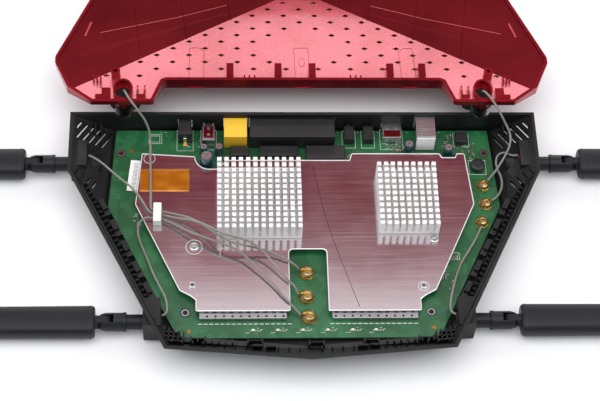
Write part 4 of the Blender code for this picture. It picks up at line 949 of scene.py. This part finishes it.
row_of("flange_holes", DISCS, flange_row(16.8, -149.6, CAN_Z), (1.5, 1.5, 0.12), HOLE_DARK)
row_of("flange_slots", BLOCKS, flange_row(17.5, -147.0, CAN_Z + 0.1), (2.6, 0.5, 0.3), HOLE_DARK)
rivets = [(75.0, -129.0, 14.0), (-75.0, -128.0, 14.0)]
row_of("plate_rivets", DISCS, rivets, (4.6, 4.6, 1.6), SCREW_STEEL, round_mm=0.45)
row_of("plate_rivet_sockets", DISCS, [(x, y, z + 0.84) for x, y, z in rivets], (1.6, 1.6, 0.1),
       HOLE_DARK)


PLATE_Z = PLATE_TOP + 0.04


def ring_points(x, y, radius, count=40):
    """A closed ring of places on the plate."""
    return [(x + radius * cos(2 * pi * i / count), y + radius * sin(2 * pi * i / count), PLATE_Z)
            for i in range(count + 1)]


CORNER = [(-57.0, -106.0, PLATE_Z), (-57.0, -100.0, PLATE_Z), (-46.0, -99.6, PLATE_Z)]
SCRATCH = [(x, y, PLATE_Z - 0.02) for x, y in (
    (5.6, -36.2), (14.6, -82.1), (26.6, -123.9), (32.8, -143.8))]
# Painted highlight: the pressed rings and corner are whiter lines along the bends.
for name, points, width, material in (
        ("pressed_ring_left", ring_points(-74.0, -99.0, 5.4), 0.35, PALE_METAL_AND_PAINTED_SHEEN),
        ("pressed_ring_front", ring_points(75.0, -129.0, 3.6), 0.3, PALE_METAL_AND_PAINTED_SHEEN),
        ("pressed_ring_rear", ring_points(-104.5, -29.5, 3.8), 0.3, PALE_METAL_AND_PAINTED_SHEEN),
        ("pressed_corner", CORNER, 0.3, PALE_METAL_AND_PAINTED_SHEEN),
        ("long_scratch", smooth_route(SCRATCH), 0.34, HOLE_DARK)):
    place_on(swept(name, points, width, material, 6), "tray")


def top_loops(node):
    """Closed outlines of a sheet's top face, found where it meets the faces round it."""
    bm = bmesh.new()
    bm.from_mesh(NODES[node].data)
    bmesh.ops.remove_doubles(bm, verts=bm.verts, dist=MERGE)
    bm.normal_update()
    height = max(v.co.z for v in bm.verts) - 0.1 * MM
    top = {f for f in bm.faces if f.normal.z > 0.99 and f.calc_center_median().z > height}
    after = {}
    for edge in bm.edges:
        if len([f for f in edge.link_faces if f in top]) == 1:
            a, b = edge.verts
            after.setdefault(a, []).append(b)
            after.setdefault(b, []).append(a)
    loops, seen = [], set()
    for start in sorted(after, key=lambda v: v.index):
        path, here = [], start
        while here and here not in seen:
            seen.add(here)
            path.append(here)
            here = next((v for v in after[here] if v not in seen), None)
        if path:
            loops.append([(v.co.x / MM, v.co.y / MM - Y_SHIFT, v.co.z / MM)
                          for v in path + [start]])
    bm.free()
    return loops


# Painted highlight: the plate's rolled rim is a bright line along the top face's outlines.
edges = top_loops("heat_plate")
for index, loop in enumerate(edges):
    if len(loop) > 4:
        place_on(swept("plate_rim_painted_highlight_%d" % index, loop, 0.7, PALE_METAL_AND_PAINTED_SHEEN, 6), "tray")
print("plate details ready, with", len(edges), "edges")

# %% Contacts in the sockets and the inlet's lug
JACK_PITCH = 14.5
JACKS = steps(-36.8 + JACK_PITCH / 2, JACK_PITCH, 4) + [-46.4]
contacts = [(x, -6.2, 16.6) for jack in JACKS for x in steps(jack - 3.57, 1.02, 8)]
row_of("socket_contacts", BLOCKS, contacts, (0.4, 8.0, 0.3), GOLD)
row_of("inlet_lug", BLOCKS, [(-80.7, -14.2, 12.0)], (2.2, 1.2, 7.2), SOLDER, round_mm=0.3)
row_of("inlet_lug_foot", BLOCKS, [(-80.7, -15.4, 8.9)], (3.0, 2.2, 1.0), GOLD, round_mm=0.3)
row_of("switch_top", BLOCKS, [(-64.7, -10.4, 17.2)], (6.4, 9.0, 0.25), RED_DEEP_AND_FACET_SHADE)
row_of("switch_dimples", DISCS, [(-64.7, -8.0, 17.36), (-64.7, -12.6, 17.36)], (2.2, 2.2, 0.3),
       SOLDER)
usb_top = node_middle("usb_port")[2]
row_of("usb_port_window", BLOCKS, [(60.8, -10.4, usb_top + 0.02)], (11.0, 5.4, 0.1), RED_DEEP_AND_FACET_SHADE)
row_of("usb_port_tabs", BLOCKS, [(x, -5.2, usb_top + 0.1) for x in (57.6, 64.0)], (2.4, 3.2, 0.3),
       SOLDER)
row_of("usb_stack_back", BLOCKS, [(83.1, -19.3, 15.6)], (12.6, 0.6, 13.6), PAPER, round_mm=0.1)
row_of("button_caps", DISCS, [(31.5, -8.6, 14.75), (44.6, -8.6, 14.75)], (5.4, 5.4, 0.5),
       CHIP_BLACK, round_mm=0.1)
print("socket details ready")

# %% [markdown]
# ## The lid's seams, grooves, tabs and pegs
# Light seam lines and dark grooves cross the side facets, and three tabs are outlined on
# the panel. Each is a thin thread laid on the surface: a ray dropped on the lid gives the
# height at each point, so the thread follows the slope exactly.

# %% Threads laid on the lid
lid_mesh = bmesh.new()
lid_mesh.from_mesh(lid.data)
LID_TREE = BVHTree.FromBMesh(lid_mesh)
lid_mesh.free()
ABOVE_LID = 60.0
THREAD_STEP = 4.0
SIDES = ((-1, "left"), (1, "right"))
TABS = (-73.0, 0.0, 73.5)
SEAM = ((140.0, 63.0), (88.0, 86.0), (52.0, 104.0))
GROOVES = (((118.0, 96.0), (112.0, 52.0)), ((86.0, 112.0), (80.0, 70.0)),
           ((52.0, 112.0), (49.0, 92.0)))


def on_lid(x, y, lift=0.05):
    """A place on the lid's inner face, in mm, or None over a perforation."""
    hit = LID_TREE.ray_cast(Vector(metres(x, y, ABOVE_LID)), Vector((0, 0, -1)))[0]
    return (x, y, hit.z / MM + lift) if hit else None


def laid(name, corners, width, material):
    """A thread on the lid through those corners; it bridges the perforations."""
    points = []
    for a, b in zip(corners, corners[1:]):
        count = max(2, ceil(Vector((b[0] - a[0], b[1] - a[1])).length / THREAD_STEP))
        points += [on_lid(*between(a, b, i / count)) for i in range(count)]
    points.append(on_lid(*corners[-1]))
    place_on(swept(name, [p for p in points if p], width, material, 6), "cover")


for side, tag in SIDES:
    laid("facet_seam_" + tag, [(side * x, y) for x, y in SEAM], 0.5, RED_SEAM)
    for index, groove in enumerate(GROOVES):
        laid("facet_groove_%s_%d" % (tag, index), [(side * x, y) for x, y in groove],
             0.7, RED_DEEP_AND_FACET_SHADE)
    laid("facet_step_" + tag, [(side * 150.0, 58.0), (side * 146.0, 70.0)], 1.6, RED_SEAM)
for index, x in enumerate(TABS):
    laid("tab_outline_%d" % index, [(x - 5, 21.5), (x - 5, 60.0), (x + 5, 60.0), (x + 5, 21.5)],
         0.35, RED_RIM)
oval = [(2.0 * cos(radians(30 * i)), 44.0 + 5.0 * sin(radians(30 * i))) for i in range(13)]
laid("tab_mark", oval, 0.3, RED_RIM)
for index, x in enumerate(TABS):
    tongue = [(x, 19.2, on_lid(x, 24.0, 0.45)[2])]
    row_of("tab_tongue_%d" % index, BLOCKS, tongue, (10.0, 3.4, 1.2), RED_RIM, body="cover",
           round_mm=0.2)
for side, tag in SIDES:
    pegs = [on_lid(side * (138.0 + 2.4 * i), 22.0 + 1.2 * i, 1.65) for i in range(3)]
    row_of("lobe_pegs_" + tag, BLOCKS, pegs, (1.2, 4.6, 4.0), RED_RIM, body="cover", round_mm=0.2)
print("lid details ready")

# %% [markdown]
# ## Antenna collars
# Where the soft blade starts there is a collar with a fine line behind it. It follows the
# blade's own rounded section, so it is built from the same super-ellipse, a hair larger.

# %% Collars
COLLAR_START = 11.5                       # from the blade's inner end, in mm
COLLAR_PROFILE = ((2.6, 1.012), (2.7, 1.02), (3.1, 1.02), (3.2, 1.012))   # offset, scale
BLADE_HALF_WIDTH, WIDTH_POWER = 10.5, 0.55
BLADE_HALF_THICKNESS, THICKNESS_POWER = 6.5, 0.7
ROUND_STEPS = 40


def bulge(part, half, power):
    """One coordinate of a super-ellipse, from a cosine or a sine."""
    return half * abs(part) ** power * (1 if part > 0 else -1)


def collar(node, side):
    """A thin ring round a blade that points to that side, -1 for left and 1 for right."""
    low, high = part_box(node)
    centre = (low + high) / 2 / MM
    start = (low if side > 0 else high).x / MM + side * COLLAR_START
    verts, faces = [], []
    for offset, k in COLLAR_PROFILE[::side]:
        for i in range(ROUND_STEPS):
            a = 2 * pi * (i + 0.5) / ROUND_STEPS
            wide = bulge(cos(a), BLADE_HALF_WIDTH * k, WIDTH_POWER)
            thick = bulge(sin(a), BLADE_HALF_THICKNESS * k, THICKNESS_POWER)
            verts.append(((start + side * offset) * MM, (centre.y + wide) * MM,
                          (centre.z + thick) * MM))
    for ring in range(len(COLLAR_PROFILE)):
        onward = (ring + 1) % len(COLLAR_PROFILE) * ROUND_STEPS
        for i in range(ROUND_STEPS):
            j = (i + 1) % ROUND_STEPS
            faces.append((ring * ROUND_STEPS + i, ring * ROUND_STEPS + j, onward + j, onward + i))
    # Painted shade: the collar ring is darker black, the shade of the fine line behind it.
    place_on(piece_of(node + "_collar", verts, faces, SHADOW_PLASTIC), node)


for name in TRAY_ANTENNAS:
    collar("paddle_" + name, -1 if "left" in name else 1)
print("collars ready")

# %% [markdown]
# ## The studio
# The router lies on a wide white table. A large soft panel hangs overhead, a second one
# stands behind and lights the lid's panel, and two weak ones fill in from the sides. A
# wine red card hangs high up behind: flat metal mirrors it, which is where the plate's
# mauve rear comes from.

# %% Table, lights and mirrored card
TABLE_HALF = 12.0


def sheet(name, half_x, half_y, spot, material, facing=1):
    """A flat piece of the studio that faces up, or down where facing is -1."""
    corners = ((-1, -1), (1, -1), (1, 1), (-1, 1))[::facing]
    obj = piece_of(name, [(x * half_x, y * half_y, 0) for x, y in corners],
                   [(0, 1, 2, 3)], material)
    obj.location = spot


def soft_light(name, spot, aim, width, height, watts):
    """A soft panel at spot, turned to shine at aim."""
    data = bpy.data.lights.new(name, "AREA")
    data.shape = "RECTANGLE"
    data.size = width
    data.size_y = height
    data.energy = watts
    obj = bpy.data.objects.new(name, data)
    obj.location = spot
    obj.rotation_euler = (Vector(aim) - Vector(spot)).to_track_quat("-Z", "Y").to_euler()
    bpy.context.scene.collection.objects.link(obj)


def glow(name, spot, half_x, half_y, stops, strength):
    """A flat card overhead that shines in the colours of its stops, from front to rear."""
    paint, tree = new_material(name, "#000000", 1.0, Emission_Strength=strength)
    place = add(tree, "ShaderNodeTexCoord").outputs["Object"]
    along = add(tree, "ShaderNodeSeparateXYZ", {"Vector": place}).outputs["Y"]
    share = add(tree, "ShaderNodeMapRange", {
        "Value": along, "From Min": -half_y, "From Max": half_y})
    surface(tree, share, stops, key="Emission Color")
    sheet(name, half_x, half_y, spot, paint, -1)


sheet("white_table", TABLE_HALF, TABLE_HALF, (0, 0, 0),
      new_material("table_white_matt", "#F1F1F3", 0.65)[0])
soft_light("overhead_panel", (0.0, -0.25, 1.7), (0, -0.05, 0), 2.4, 1.5, 23)
soft_light("rear_panel", (0.0, 1.7, 0.9), (0, 0.05, 0), 3.0, 1.0, 23)
soft_light("left_panel", (-1.4, -0.2, 1.0), (0, -0.1, 0), 0.9, 0.9, 6)
soft_light("right_panel", (1.4, -0.3, 1.0), (0, -0.1, 0), 0.9, 0.9, 5)
glow("wine_card", (0.0, 0.86, 1.25), 1.1, 0.46, [
    (0.0, "#FFFFFF"), (0.14, "#FFFAFC"), (0.19, "#B06A78"), (0.24, "#731628"),
    (1.0, "#6A0F1E")], 1.05)
world = bpy.data.worlds.new("studio_air")
world.use_nodes = True
air = world.node_tree.nodes["Background"].inputs
air["Color"].default_value = colour("#F2F4F8")
air["Strength"].default_value = 0.52
bpy.context.scene.world = world
bpy.context.scene.view_settings.view_transform = "Standard"
print("studio ready")
